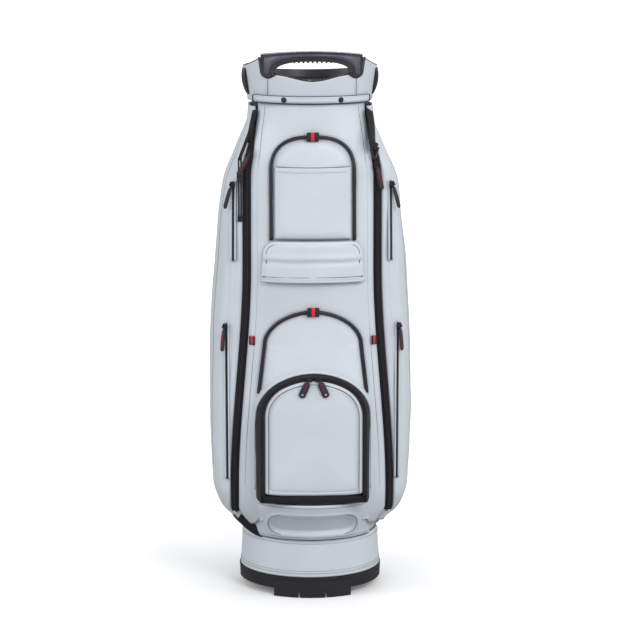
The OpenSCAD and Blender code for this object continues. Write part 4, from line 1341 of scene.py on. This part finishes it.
def notch_rim(x, y):
    """Height of the collar's edge with both handle notches."""
    if y >= 0:
        return min(887 - 20 * y / 130 + 0.0, 904 - 34.5 * max(0.0, abs(x) - 83) / 57)
    ax = abs(x)
    if ax <= 62:
        return 866 + 5 * (1 - math.cos(math.pi * ax / 62))
    if ax < 84:
        d = ax - 73
        if ax <= 73:
            return max(872.0, 883 - math.sqrt(max(0.0, 121 - d * d))) if ax > 64 else 876 + (883 - 876) * 0
        return 883 - math.sqrt(max(0.0, 121 - d * d))
    slope = 904 - 34.5 * (ax - 83) / 57
    return slope - 0.0 + min(0.0, (y + 0) * 0)


def handle_face():
    """Lighter moulded face of the handle: wide over both ends, thin in the middle."""
    half = 79.0
    xs = [half * u for u in soft_levels(60, 0.8)]
    rows = []
    for k in range(9):
        f = k / 8
        row = []
        for x in xs:
            top = 911.6 - 7 * (x / 83.7) ** 2
            low = grip_arc(x) + 1.2
            if abs(x) > 62.3:
                low = max(low, 883 - math.sqrt(max(0.0, 114.5 - (abs(x) - 73) ** 2)) + 2.0)
            low = min(low, top - 4.0)
            z = low + (top - low) * f
            swell = 1.5 * (1 - abs(2 * f - 1) ** 3)
            r = 113.5 + swell
            row.append((x, -math.sqrt(r * r - x * x), z))
        rows.append(row)
    sheet("handle_face", rows, 1.0, M["handle_face"], "bag", weld_it=True)


def grip_arc(x):
    return 874 + 31 * (1 - clamp01(abs(x) / 71) ** 2.6) ** (1 / 2.6)


def belt():
    half = 64
    rows = []
    prof = [(105.2, 829.6), (107.4, 830.0), (108.6, 831.2), (109.0, 833.5), (109.1, 835.5), (109.0, 838), (108.5, 840.3),
            (107.4, 841.2), (106.4, 841.4)]
    n = 90
    for (r, z) in prof:
        row = []
        for i in range(n + 1):
            a = rad(-90 - half + 2 * half * i / n)
            rr = r + lumps((100 * math.cos(a), 100 * math.sin(a), z), 30, 0.25, 5.0)
            row.append((rr * math.cos(a), rr * math.sin(a), z + 0.0))
        rows.append(row)
    ob = sheet("collar_belt", rows, lambda j, i: 1.0, M["white"], "bag")
    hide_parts("collar_belt")
    for k, z in (("low", 832.2), ("high", 838.9)):
        path = []
        for i in range(121):
            a = rad(-90 - half + 2 + (2 * half - 4) * i / 120)
            path.append(((109.0 * math.cos(a), 109.0 * math.sin(a), z), (math.cos(a), math.sin(a), 0)))
        add("belt_stitches_" + k, stitches(path, 3.6, 2.4, 0.32), M["thread_white"], "bag")
        # dark lines along the belt's top and bottom edges: painted shadow of its edges
        edge = [((q[0][0] * 0.992, q[0][1] * 0.992, 829.7 if k == "low" else 841.7), q[1]) for q in path]
        seam_line("belt_line_" + k, edge, 0.5)
    # dark slots at the belt's ends
    parts = []
    for s in (-1, 1):
        a0 = -90 + s * (half - 1.6)
        path = [((109.4 * math.cos(rad(a0)), 109.4 * math.sin(rad(a0)), z), (math.cos(rad(a0)), math.sin(rad(a0)), 0))
                for z in (829.8, 831, 833, 836, 839, 841)]
        parts.append(tube_mesh(path, band(2.6, 1.4)))
    add("belt_end_loops", merge(parts), M["piping"], "bag")


# ------------------------------------------------------------------ zips on the body
def long_zip(side):
    zs = [121 + 4 * i for i in range(168)]
    zs = [z for z in zs if z < 800]
    rows = []
    for z in zs:
        w = zip_half(z) + 0.5
        x, y = zip_x(z), -zip_y(z) - 0.6
        rows.append([(side * (x + w * u), y + 0.5 * abs(u), z) for u in ((-1, -0.6, -0.25, 0, 0.25, 0.6, 1) if side > 0 else (1, 0.6, 0.25, 0, -0.25, -0.6, -1))])
    cut = sum(1 for z in zs if z < 138)
    tape, end = closed_sheet(rows[cut:], 1.2), closed_sheet(rows[:cut + 1], 1.2)
    # teeth: two rows that mesh on the middle line
    parts = []
    z = 139.0
    k = 0
    while z < 792:
        x, y = zip_x(z), -zip_y(z) - 0.6
        w = min(2.6, zip_half(z) * 0.5)
        for s in (-1, 1):
            zz = z + (0.0 if s < 0 else 1.25)
            c = Vector((side * (x + s * w * 0.42), y - 0.2, zz))
            v = []
            for dy, sc in ((0.0, 1.0), (-1.1, 0.74)):
                for a, b in ((-1, -1), (1, -1), (1, 1), (-1, 1)):
                    v.append(c + Vector((a * w * 0.52 * sc, dy, b * 0.82 * sc)))
            parts.append((v, [(3, 2, 1, 0), (4, 5, 6, 7), (0, 1, 5, 4), (1, 2, 6, 5), (2, 3, 7, 6), (3, 0, 4, 7)]))
        z += 2.5
        k += 1
    return tape, merge(parts), end


def long_zips():
    tapes, teeth, ends = [], [], []
    for side in (-1, 1):
        a, b, c = long_zip(side)
        tapes.append(a)
        teeth.append(b)
        ends.append(c)
    add("long_zip_ends", merge(ends), M["white"], "bag")
    ob = add("long_zips", merge(tapes), M["tape"], "bag")
    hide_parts("long_zips")
    add("long_zip_teeth", merge(teeth), M["teeth"], "bag")


AZ = 31.0
UPPER_ZIP = ((130, -86.2, 701), (131, -90.6, 569))
LOWER_ZIP = ((143, -86.4, 464), (142, -92.8, 200))


def side_zips():
    face = Vector((math.sin(rad(AZ)), -math.cos(rad(AZ)), 0))
    across = Vector((math.cos(rad(AZ)), math.sin(rad(AZ)), 0))
    tapes, teeth, welts = [], [], []
    for (a, b) in (UPPER_ZIP, LOWER_ZIP):
        a, b = Vector(a), Vector(b)
        n = max(8, int((a - b).length / 6))

        def laid(c):
            t = side_t(min(c.x, half_w(c.z) - 1), c.z)
            y = max(side_surface(s, t, c.z)[0][1] for s in (-1, 1))
            return Vector((c.x, min(c.y, y - 0.8), c.z))
        path = [(laid(b.lerp(a, i / n)), tuple(face)) for i in range(n + 1)]
        tapes.append(tube_mesh(path, band(3.4, 1.4, 0.3)))
        L = (a - b).length
        d = (a - b).normalized()
        for i in range(int(L / 2.3)):
            c = laid(b + d * (2 + 2.3 * i)) + face * 0.75
            if (c - b).length > L - 2:
                continue
            v = []
            for dn, sc in ((0.0, 1.0), (0.7, 0.7)):
                for p, q in ((-1, -1), (1, -1), (1, 1), (-1, 1)):
                    v.append(c + across * (p * 1.05 * sc) + d * (q * 0.75 * sc) + face * dn)
            teeth.append((v, [(3, 2, 1, 0), (4, 5, 6, 7), (0, 1, 5, 4), (1, 2, 6, 5), (2, 3, 7, 6), (3, 0, 4, 7)]))
        # leatherette welts on both sides of the tape, lying on the skin
        for s in (-1, 1):
            wp = []
            for i in range(n + 1):
                c = b.lerp(a, i / n)
                x = c.x + s * 3.6 * across.x
                t = side_t(min(x, half_w(c.z) - 1), c.z)
                y = side_point(t, c.z)[1]
                q = Vector((x, min(y, c.y + s * 3.6 * across.y + 1.2), c.z))
                wp.append((q, tuple(face)))
            welts.append(tube_mesh(wp, circle(1.7, 8)))
    both = lambda parts: merge(parts + [mirror_x(p) for p in parts])
    ob = add("side_zips", both(tapes), M["tape"], "bag")
    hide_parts("side_zips")
    add("side_zip_teeth", both(teeth), M["teeth"], "bag")
    add("side_zip_welts", both(welts), M["white"], "bag")


def slider_top(name, body, at, left):
    pass


def frame_of(at, left):
    """Matrix of a slider's own frame: the puller hangs along -Z and the cloth faces -Y."""
    m = Matrix.Translation(Vector(at[0])) @ Matrix.Rotation(rad(at[1]), 4, "Z") @ Matrix.Rotation(rad(at[2]), 4, "Y")
    if left:
        m = Matrix.Scale(-1, 4, (1, 0, 0)) @ m
    return m


BAIL = 5.8
ARCH_STEP, ARCH_LEAN = 4, -24
OFF = (1.3 * math.sin(rad(AZ)), -1.3 * math.cos(rad(AZ)), 0)
AT = {
    "arch": (((ARC_R - 3) * math.sin(rad(ARCH_STEP)), 1.5 - PANEL_D, ARC_Z + (ARC_R - 3) * math.cos(rad(ARCH_STEP))), 0, ARCH_LEAN),
    "long_left": ((zip_x(748) + 0.3, -94.3, 748), 0, -28),
    "long_right": ((zip_x(728), -94.3, 728), 0, -12),
    "upper": ((UPPER_ZIP[0][0] + OFF[0], UPPER_ZIP[0][1] + OFF[1], UPPER_ZIP[0][2] - 6), AZ, -18),
    "lower": ((LOWER_ZIP[0][0] + OFF[0], LOWER_ZIP[0][1] + OFF[1], LOWER_ZIP[0][2] - 6), AZ, -6),
}


def puller(name, body, at, left, length, rivet, node, wide=1.0, line=0.6):
    """Moulded puller: an eye on the bail, a waist and a rounded tab with a red line down its middle."""
    n = 26
    outline = []
    # half-width along the puller from the eye (0) to the tip (length)
    def half(s):
        if s < 3:
            return 1.5 + 0.0 * s
        if s < 9:
            return 1.5 + (4.7 * wide - 1.5) * smooth((s - 3) / 6)
        w = (4.7 + 0.3 * smooth((s - 9) / 12)) * wide
        tip = length - 5.0
        if s > tip:
            w *= math.sqrt(max(0.0, 1 - ((s - tip) / 5.0) ** 2)) if s < length else 0.0
        return max(w, 0.25)
    ss = [1.6 + (length - 1.6) * (i / n) ** 0.9 for i in range(n + 1)]
    us = [-1, -0.9, -0.55, 0, 0.55, 0.9, 1]
    front, back = [], []
    for s in ss:
        w = half(s)
        for u in us:
            t = 1.0 * (1 - 0.75 * max(0.0, abs(u) - 0.55) / 0.45)
            bow = 0.5 * math.sin(math.pi * clamp01((s - 2) / (length - 2)))
            front.append((u * w, -BAIL - t - bow, -s))
            back.append((u * w, -BAIL + t - bow * 0.6, -s))
    m = len(us)
    k = len(front)
    faces = []
    for j in range(len(ss) - 1):
        for i in range(m - 1):
            a = j * m + i
            faces.append((a, a + m, a + m + 1, a + 1))
            faces.append((k + a, k + a + 1, k + a + m + 1, k + a + m))
        a = j * m
        faces.append((a, k + a, k + a + m, a + m))
        a = j * m + m - 1
        faces.append((a + m, k + a + m, k + a, a))
    for i in range(m - 1):
        faces.append((i, i + 1, k + i + 1, k + i))
        a = (len(ss) - 1) * m + i
        faces.append((a + 1, a, k + a, k + a + 1))
    eye = []
    eye_path = [((0, -BAIL + 1.45 * math.sin(2 * math.pi * i / 12), 1.45 * math.cos(2 * math.pi * i / 12)), (1, 0, 0)) for i in range(12)]
    ev, ef = tube_mesh(eye_path, circle(0.55, 6), closed=True)
    verts, faces2 = merge([(front + back, faces), (ev, ef)])
    mat = frame_of(at, left)
    verts = [mat @ Vector(v) for v in verts]
    ob = new_object(name, verts, faces2, M["puller"], body)
    weld(ob, 0.00002)
    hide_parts(node)
    # red line
    path = [((0, -BAIL - 1.05 - 0.5 * math.sin(math.pi * clamp01((s - 2) / (length - 2))), -s), (0, -1, 0))
            for s in [8 + (length - 17 if rivet else length - 13) * i / 10 for i in range(11)]]
    if line:
        v, f = tube_mesh(path, band(line, 0.7, 0.12))
        add(name + "_red_line", ([mat @ Vector(p) for p in v], f), M["red"], body)
    if rivet:
        v, f = [], []
        z = -(length - 5.4)
        seg = 14
        prof = [(0.0, -2.05), (0.9, -1.95), (1.5, -1.6), (1.7, -1.1)]
        v.append((0, -BAIL + prof[0][1] - 0.1, z))
        for (r, h) in prof[1:]:
            for i in range(seg):
                a = 2 * math.pi * i / seg
                v.append((r * math.cos(a), -BAIL + h - 0.1, z + r * math.sin(a)))
        for i in range(seg):
            f.append((0, 1 + i, 1 + (i + 1) % seg))
            for j in range(len(prof) - 2):
                a = 1 + j * seg
                f.append((a + i, a + seg + i, a + seg + (i + 1) % seg, a + (i + 1) % seg))
        f.append(tuple(1 + (len(prof) - 2) * seg + i for i in range(seg)))
        o = add(name + "_rivet", ([mat @ Vector(p) for p in v], f), M["metal"], body)
        weld(o, 0.00001)


def sliders():
    for n in NODES:
        if "_slider_" in n:
            paint(n, M["slider"], 0.35, 2)
    for side in ("left", "right"):
        L = side == "left"
        puller("arch_pull_" + side, "arch_pull_" + side, AT["arch"], L, 33, True, "arch_pull_" + side, 1.18)
        puller("long_pull_" + side, "long_pull_" + side, AT["long_" + side], L, 42, False, "long_pull_" + side, 0.8, 0.5)
        puller("upper_pull_" + side, "upper_pull_" + side, AT["upper"], L, 42, False, "upper_pull_" + side, 0.72, 0)
        puller("lower_pull_" + side, "lower_pull_" + side, AT["lower"], L, 42, False, "lower_pull_" + side, 0.72, 0.6)


# ------------------------------------------------------------------ ribbons, webbing, cord, strap
def ribbon_tabs():
    """Folded ribbon loops, black with a red band, sewn over the pipings and beside the long zips."""
    for k, z in (("upper", 776), ("ball", 489)):
        rows = []
        for j in range(11):
            f = j / 10
            zz = z - 7.5 + 15 * f
            bow = 1.4 * math.sin(math.pi * f)
            rows.append([(x, -(front_depth(0, z) + 8.7 + bow), zz) for x in [-10 + 2 * i for i in range(11)]])
        ob = sheet("ribbon_tab_" + k, rows, 1.5, M["ribbon"], "bag")
        if k == "upper":
            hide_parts("ribbon_tabs")
    for s, k in ((-1, "left"), (1, "right")):
        rows = []
        c = Vector((s * (101 if s < 0 else 103), -front_depth(101, 437) - 2.6, 437))
        ac = Vector((math.cos(rad(34)), s * math.sin(rad(34)), 0))
        nn = Vector((s * math.sin(rad(34)), -math.cos(rad(34)), 0))
        for j in range(9):
            f = j / 8
            bow = 1.0 * math.sin(math.pi * f)
            rows.append([tuple(c + ac * u + nn * bow + Vector((0, 0, -7.5 + 15 * f))) for u in [-5 + i for i in range(11)]])
        # the object's own origin sits on the ribbon so that its stripe is centred
        v, f = closed_sheet(rows, 1.3)
        v = [Vector(p) - c for p in v]
        ob = new_object("ribbon_loop_" + k, v, f, M["ribbon_small"], "bag")
        ob.location = c * MM


WEB_AZ = 50.0
WEB_FACE = Vector((math.sin(rad(WEB_AZ)), -math.cos(rad(WEB_AZ)), 0))
WEB_ACROSS = Vector((math.cos(rad(WEB_AZ)), math.sin(rad(WEB_AZ)), 0))
RING_BAR = Vector((102.6, -98.6, 756))


def smooth_path(points, n):
    """Catmull-Rom through points."""
    P = [Vector(p) for p in points]
    P = [2 * P[0] - P[1]] + P + [2 * P[-1] - P[-2]]
    out = []
    for k in range(1, len(P) - 2):
        for i in range(n):
            t = i / n
            a, b, c, d = P[k - 1], P[k], P[k + 1], P[k + 2]
            out.append(0.5 * ((2 * b) + (c - a) * t + (2 * a - 5 * b + 4 * c - d) * t * t
                              + (3 * b - 3 * c + d - a) * t ** 3))
    out.append(P[-2])
    return out


def webbing():
    pts = smooth_path([(102.6, -99.2, 758.2), (98.8, -96.2, 768), (98.5, -77, 789), (96.0, -58.6, 816)], 8)
    path = [(p, tuple(WEB_FACE)) for p in pts]
    strip = tube_mesh(path, band(20, 2.0, 0.5))
    roll = tube_mesh([(RING_BAR + WEB_ACROSS * (-5 + 10 * i / 8), (0, 0, 1)) for i in range(9)], circle(3.1, 14))
    left = smooth_path([(-104, -78, 764), (-101, -72.5, 782), (-93.5, -57, 816)], 8)
    lpath = [(p, (-WEB_FACE.x, WEB_FACE.y, 0)) for p in left]
    ob = add("accessory_webbing", merge([strip, roll, tube_mesh(lpath, band(12, 1.8, 0.4))]), M["webbing"], "bag")
    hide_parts("accessory_webbing")
    for k, off in (("a", -7.5), ("b", 7.5)):
        p = [(q + WEB_ACROSS * off + WEB_FACE * 1.1, u) for (q, u) in path[8:]]
        add("webbing_stitches_" + k, stitches(p, 3.6, 2.5, 0.34), M["thread_black"], "bag")
    paint("accessory_ring", M["slider"])


def cord():
    parts = []
    for x in (-121.4, -117.4):
        path = [((x, -95.3, 645 + (738 - 645) * i / 60), (0, -1, 0)) for i in range(61)]
        parts.append(tube_mesh(path, [(1.35 * math.cos(a * math.pi / 5), 1.35 * math.sin(a * math.pi / 5)) for a in range(10)]))
        # crimped end
        prof = [(0.4, 634.2), (1.5, 634.8), (1.95, 636.5), (1.95, 642), (1.6, 644.5), (1.35, 645.4)]
        v, f = [], []
        seg = 12
        for (r, z) in prof:
            for i in range(seg):
                a = 2 * math.pi * i / seg
                v.append((x + r * math.cos(a), -95.3 + r * math.sin(a), z))
        for j in range(len(prof) - 1):
            for i in range(seg):
                f.append((j * seg + i, j * seg + (i + 1) % seg, (j + 1) * seg + (i + 1) % seg, (j + 1) * seg + i))
        f.append(tuple(reversed(range(seg))))
        f.append(tuple((len(prof) - 1) * seg + i for i in range(seg)))
        parts.append((v, f))
    # the loop that joins the strands at the top, under its sewn tab
    loop = [((-119.4 + 2.0 * math.cos(math.pi * i / 12), -95.3, 738 + 3.4 * math.sin(math.pi * i / 12)), (0, -1, 0)) for i in range(13)]
    parts.append(tube_mesh(loop, circle(1.35, 8)))
    ob = add("bungee_cord", merge(parts), M["webbing"], "bag")
    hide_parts("bungee_cord")
    tab = smooth_path([(-119.4, -96.9, 736), (-117.8, -95.6, 744), (-112.5, -89.5, 757), (-106.5, -78.5, 772), (-101.0, -69.5, 784)], 6)
    add("cord_tab", tube_mesh([(p, (-0.5, -0.86, 0)) for p in tab], band(6, 1.4, 0.4)), M["webbing"], "bag")
    paint("cord_lock", M["moulding"], 1.1, 3)


STRAP_AT = Vector((-58, 113, 0))
STRAP_ANGLE = math.atan2(113, -58)
STRAP_OUT = Vector((math.cos(STRAP_ANGLE), math.sin(STRAP_ANGLE), 0))
STRAP_LOW, STRAP_HIGH = 112, 790


def strap_point(u):
    return (STRAP_AT + Vector((0, 0, STRAP_LOW + (STRAP_HIGH - STRAP_LOW) * u))
            + STRAP_OUT * (3.8 + 17 * math.sin(rad(180 * u)) ** 0.6))


def strap():
    side = Vector((0, 0, 1)).cross(STRAP_OUT)
    path = [(strap_point(0.004 + 0.992 * i / 80), tuple(STRAP_OUT)) for i in range(81)]
    web = tube_mesh(path, band(30, 2.2, 0.6))
    loops = []
    for z, h in ((STRAP_LOW, 7), (STRAP_HIGH, 12)):
        c = STRAP_AT + Vector((0, 0, z))
        prof = [(2.0, -h), (3.4, -h), (3.95, -h + 0.8), (3.95, h - 0.8), (3.4, h), (2.0, h)]
        v, f = [], []
        seg = 20
        for (r, dz) in prof:
            for i in range(seg):
                a = 2 * math.pi * i / seg
                v.append((c.x + r * math.cos(a), c.y + r * math.sin(a), c.z + dz))
        for j in range(len(prof)):
            for i in range(seg):
                a, b = j * seg + i, j * seg + (i + 1) % seg
                k = (j + 1) % len(prof)
                f.append((a, b, k * seg + (i + 1) % seg, k * seg + i))
        loops.append((v, f))
    ob = add("shoulder_strap", merge([web] + loops), M["webbing"], "strap")
    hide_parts("shoulder_strap")
    # padded sleeve: two channels with a seam down the middle
    rows = []
    n = 64
    for j in range(n + 1):
        u = 0.42 + 0.4 * j / n
        e = min(j, n - j) / n
        w = 25.5 * (0.62 + 0.38 * math.sqrt(clamp01(e / 0.09)) if e < 0.09 else 1.0)
        row = []
        for i in range(33):
            s = -1 + 2 * i / 32
            crown = (1 - abs(s) ** 3.2)
            chan = 1 - 0.55 * math.exp(-(s / 0.07) ** 2)
            endf = smooth(e / 0.05)
            h = 1.4 + 7.2 * crown * chan * (0.25 + 0.75 * endf)
            p = strap_point(u) + side * (-s * w) + STRAP_OUT * (1.4 + h)
            row.append(tuple(p))
        rows.append(row)
    pad = sheet("strap_pad", rows, lambda j, i: 1.6, M["mesh"], "strap")
    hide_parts("strap_pad")
    edge = []
    for j in range(0, n + 1):
        u = 0.42 + 0.4 * j / n
        e = min(j, n - j) / n
        w = 25.5 * (0.62 + 0.38 * math.sqrt(clamp01(e / 0.09)) if e < 0.09 else 1.0)
        edge.append((j, u, w))
    loop = [strap_point(u) + side * (w - 1.4) + STRAP_OUT * 3.6 for (j, u, w) in edge] + \
           [strap_point(u) - side * (w - 1.4) + STRAP_OUT * 3.6 for (j, u, w) in reversed(edge)]
    add("strap_pad_binding", tube_mesh([(p, tuple(STRAP_OUT)) for p in loop], circle(1.6, 8), closed=True), M["piping"],
        "strap")
    for off in (-1.0, 1.0):
        p = [(strap_point(u) + side * (off * 3.0) + STRAP_OUT * 5.6, tuple(STRAP_OUT)) for (j, u, w) in edge[3:-3]]
    paint("strap_rings", M["slider"], 0.5, 2)
    anchors = []
    pts = []
    for i in range(41):
        a = rad(206 - 84 * i / 40)
        pts.append(((116.2 * math.cos(a), 116.2 * math.sin(a), 112.5), (math.cos(a), math.sin(a), 0)))
    anchors.append(tube_mesh(pts, band(18, 2.8, 0.7)))
    c = STRAP_AT + Vector((0, 0, STRAP_HIGH))
    tab = [(c - STRAP_OUT * 18.0 + Vector((0, 0, z)), tuple(STRAP_OUT)) for z in (-8, -4, 0, 4, 8, 12)]
    anchors.append(tube_mesh(tab, band(24, 2.2, 0.6)))
    ob = add("strap_anchors", merge(anchors), M["webbing"], "bag")
    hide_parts("strap_anchors")
    # the anchor's front end comes forward over the pocket's lower corner and goes under the boot's edge
    front = smooth_path([(-82, -79, 102.5), (-97, -74.5, 108), (-112, -72, 119), (-125, -68, 131), (-131, -53, 136),
                         (-129, -35, 132), (-121, -18, 120)], 8)
    add("strap_anchor_front", tube_mesh([(p, (p[0], p[1] - 30, 20)) for p in front], band(16, 3.6, 1.2)), M["webbing"],
        "bag")


# ------------------------------------------------------------------ nodes that stay as modelled
def kept_nodes():
    paint("foot", M["foot"], 1.2, 3)
    paint("base_cup", M["moulding"], 0.6, 2)
    paint("base_screws", M["metal"], 0.3, 2)
    paint("main_tube", M["divider"])
    paint("spine_stays", M["metal"], 0.3, 1)
    paint("club_dividers", M["lining"])
    paint("divider_top", M["divider"], 1.0, 3)
    paint("collar_moulding", M["moulding"], 0.5, 2)
    paint("hood_snaps", M["slider"], 0.3, 2)
    paint("handle_moulding", M["moulding"], 1.6, 4, 25)
    paint("handle_grip", M["grip"], 0.3, 2)
    paint("handle_screws", M["metal"], 0.3, 2)
    paint("side_grips", M["moulding"], 0.8, 3)


# ------------------------------------------------------------------ stage
def stage():
    sc = bpy.context.scene
    me = bpy.data.meshes.new("floor")
    far = 60.0
    me.from_pydata([(-far, -far, 0), (far, -far, 0), (far, far, 0), (-far, far, 0)], [], [(0, 1, 2, 3)])
    floor = bpy.data.objects.new("floor", me)
    sc.collection.objects.link(floor)
    n = Nodes("pale_floor")
    seen = n.node("ShaderNodeLightPath")
    n.set(color=n.mix(seen.outputs["Is Camera Ray"], (0.4, 0.4, 0.4, 1.0), (0.9, 0.9, 0.9, 1.0)), rough=0.95, spec=0.0)
    n.p.inputs["Emission Color"].default_value = (1, 1, 1, 1)
    # camera-only floor glow rising with distance from the bag: white far off, and painted shade left round the foot
    where = n.node("ShaderNodeVectorMath", operation="LENGTH")
    n.link(n.co, where.inputs[0])
    away = n.node("ShaderNodeMapRange")
    away.inputs["From Min"].default_value = 0.15
    away.inputs["From Max"].default_value = 1.3
    away.inputs["To Min"].default_value = 0.10
    away.inputs["To Max"].default_value = 0.72
    n.link(where.outputs["Value"], away.inputs["Value"])
    lift = n.math("MULTIPLY", seen.outputs["Is Camera Ray"], away.outputs["Result"])
    n.link(lift, n.p.inputs["Emission Strength"])
    me.materials.append(n.mat)
    w = bpy.data.worlds.new("world")
    w.use_nodes = True
    tree = w.node_tree
    bg = tree.nodes["Background"]
    bg.inputs["Color"].default_value = (0.97, 0.98, 1.0, 1)
    path = tree.nodes.new("ShaderNodeLightPath")
    mix = tree.nodes.new("ShaderNodeMapRange")
    mix.inputs["To Min"].default_value = 0.665
    mix.inputs["To Max"].default_value = 1.08
    tree.links.new(path.outputs["Is Camera Ray"], mix.inputs["Value"])
    tree.links.new(mix.outputs["Result"], bg.inputs["Strength"])
    sc.world = w

    def area(name, loc, target, size, power, color=(1, 1, 1)):
        d = bpy.data.lights.new(name, "AREA")
        d.shape = "RECTANGLE"
        d.size, d.size_y = size
        d.energy = power
        d.color = color
        o = bpy.data.objects.new(name, d)
        sc.collection.objects.link(o)
        o.location = loc
        o.rotation_euler = (Vector(target) - Vector(loc)).to_track_quat("-Z", "Y").to_euler()
        return o
    area("key", (1.5, -3.0, 2.5), (0, 0, 0.5), (1.4, 1.4), 55)
    area("fill", (-2.0, -3.2, 1.3), (0, 0, 0.6), (1.4, 2.0), 14)
    area("left_side", (-2.8, -0.9, 1.7), (0, 0, 0.65), (1.0, 1.6), 24)
    area("right_side", (2.8, -0.9, 1.7), (0, 0, 0.65), (1.0, 1.6), 20)
    area("behind", (0.6, 3.2, 1.9), (0, 0, 0.5), (1.6, 1.6), 18)

    cam = bpy.data.cameras.new("camera")
    cam.sensor_width = 36
    cam.lens = 2624 * 36 / 620
    cam.clip_end = 200
    o = bpy.data.objects.new("camera", cam)
    sc.collection.objects.link(o)
    az = rad(-2.3)
    D, H = 4.4, 1.18
    o.location = (math.sin(az) * D, -math.cos(az) * D, H)
    pitch = rad(9.42)
    o.rotation_euler = (math.pi / 2 - pitch, 0, az)
    cam.shift_x = 0.0
    cam.shift_y = 0.0197
    sc.camera = o
    sc.view_settings.view_transform = "Standard"


# ------------------------------------------------------------------ build
front_cover()
side_pocket(-1)
side_pocket(1)
back_panel()
upper_pocket()
ball_pocket()
flap()
pipings()
gusset()
pocket_lip()
front_panel()
front_zip()
boot()
base()
collar()
handle_face()
belt()
long_zips()
side_zips()
sliders()
ribbon_tabs()
webbing()
cord()
strap()
kept_nodes()
stage()

for ob in list(bpy.context.scene.objects):
    if "ride_on" in ob:
        body = ob["ride_on"]
        del ob["ride_on"]
        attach(ob, body)


import json
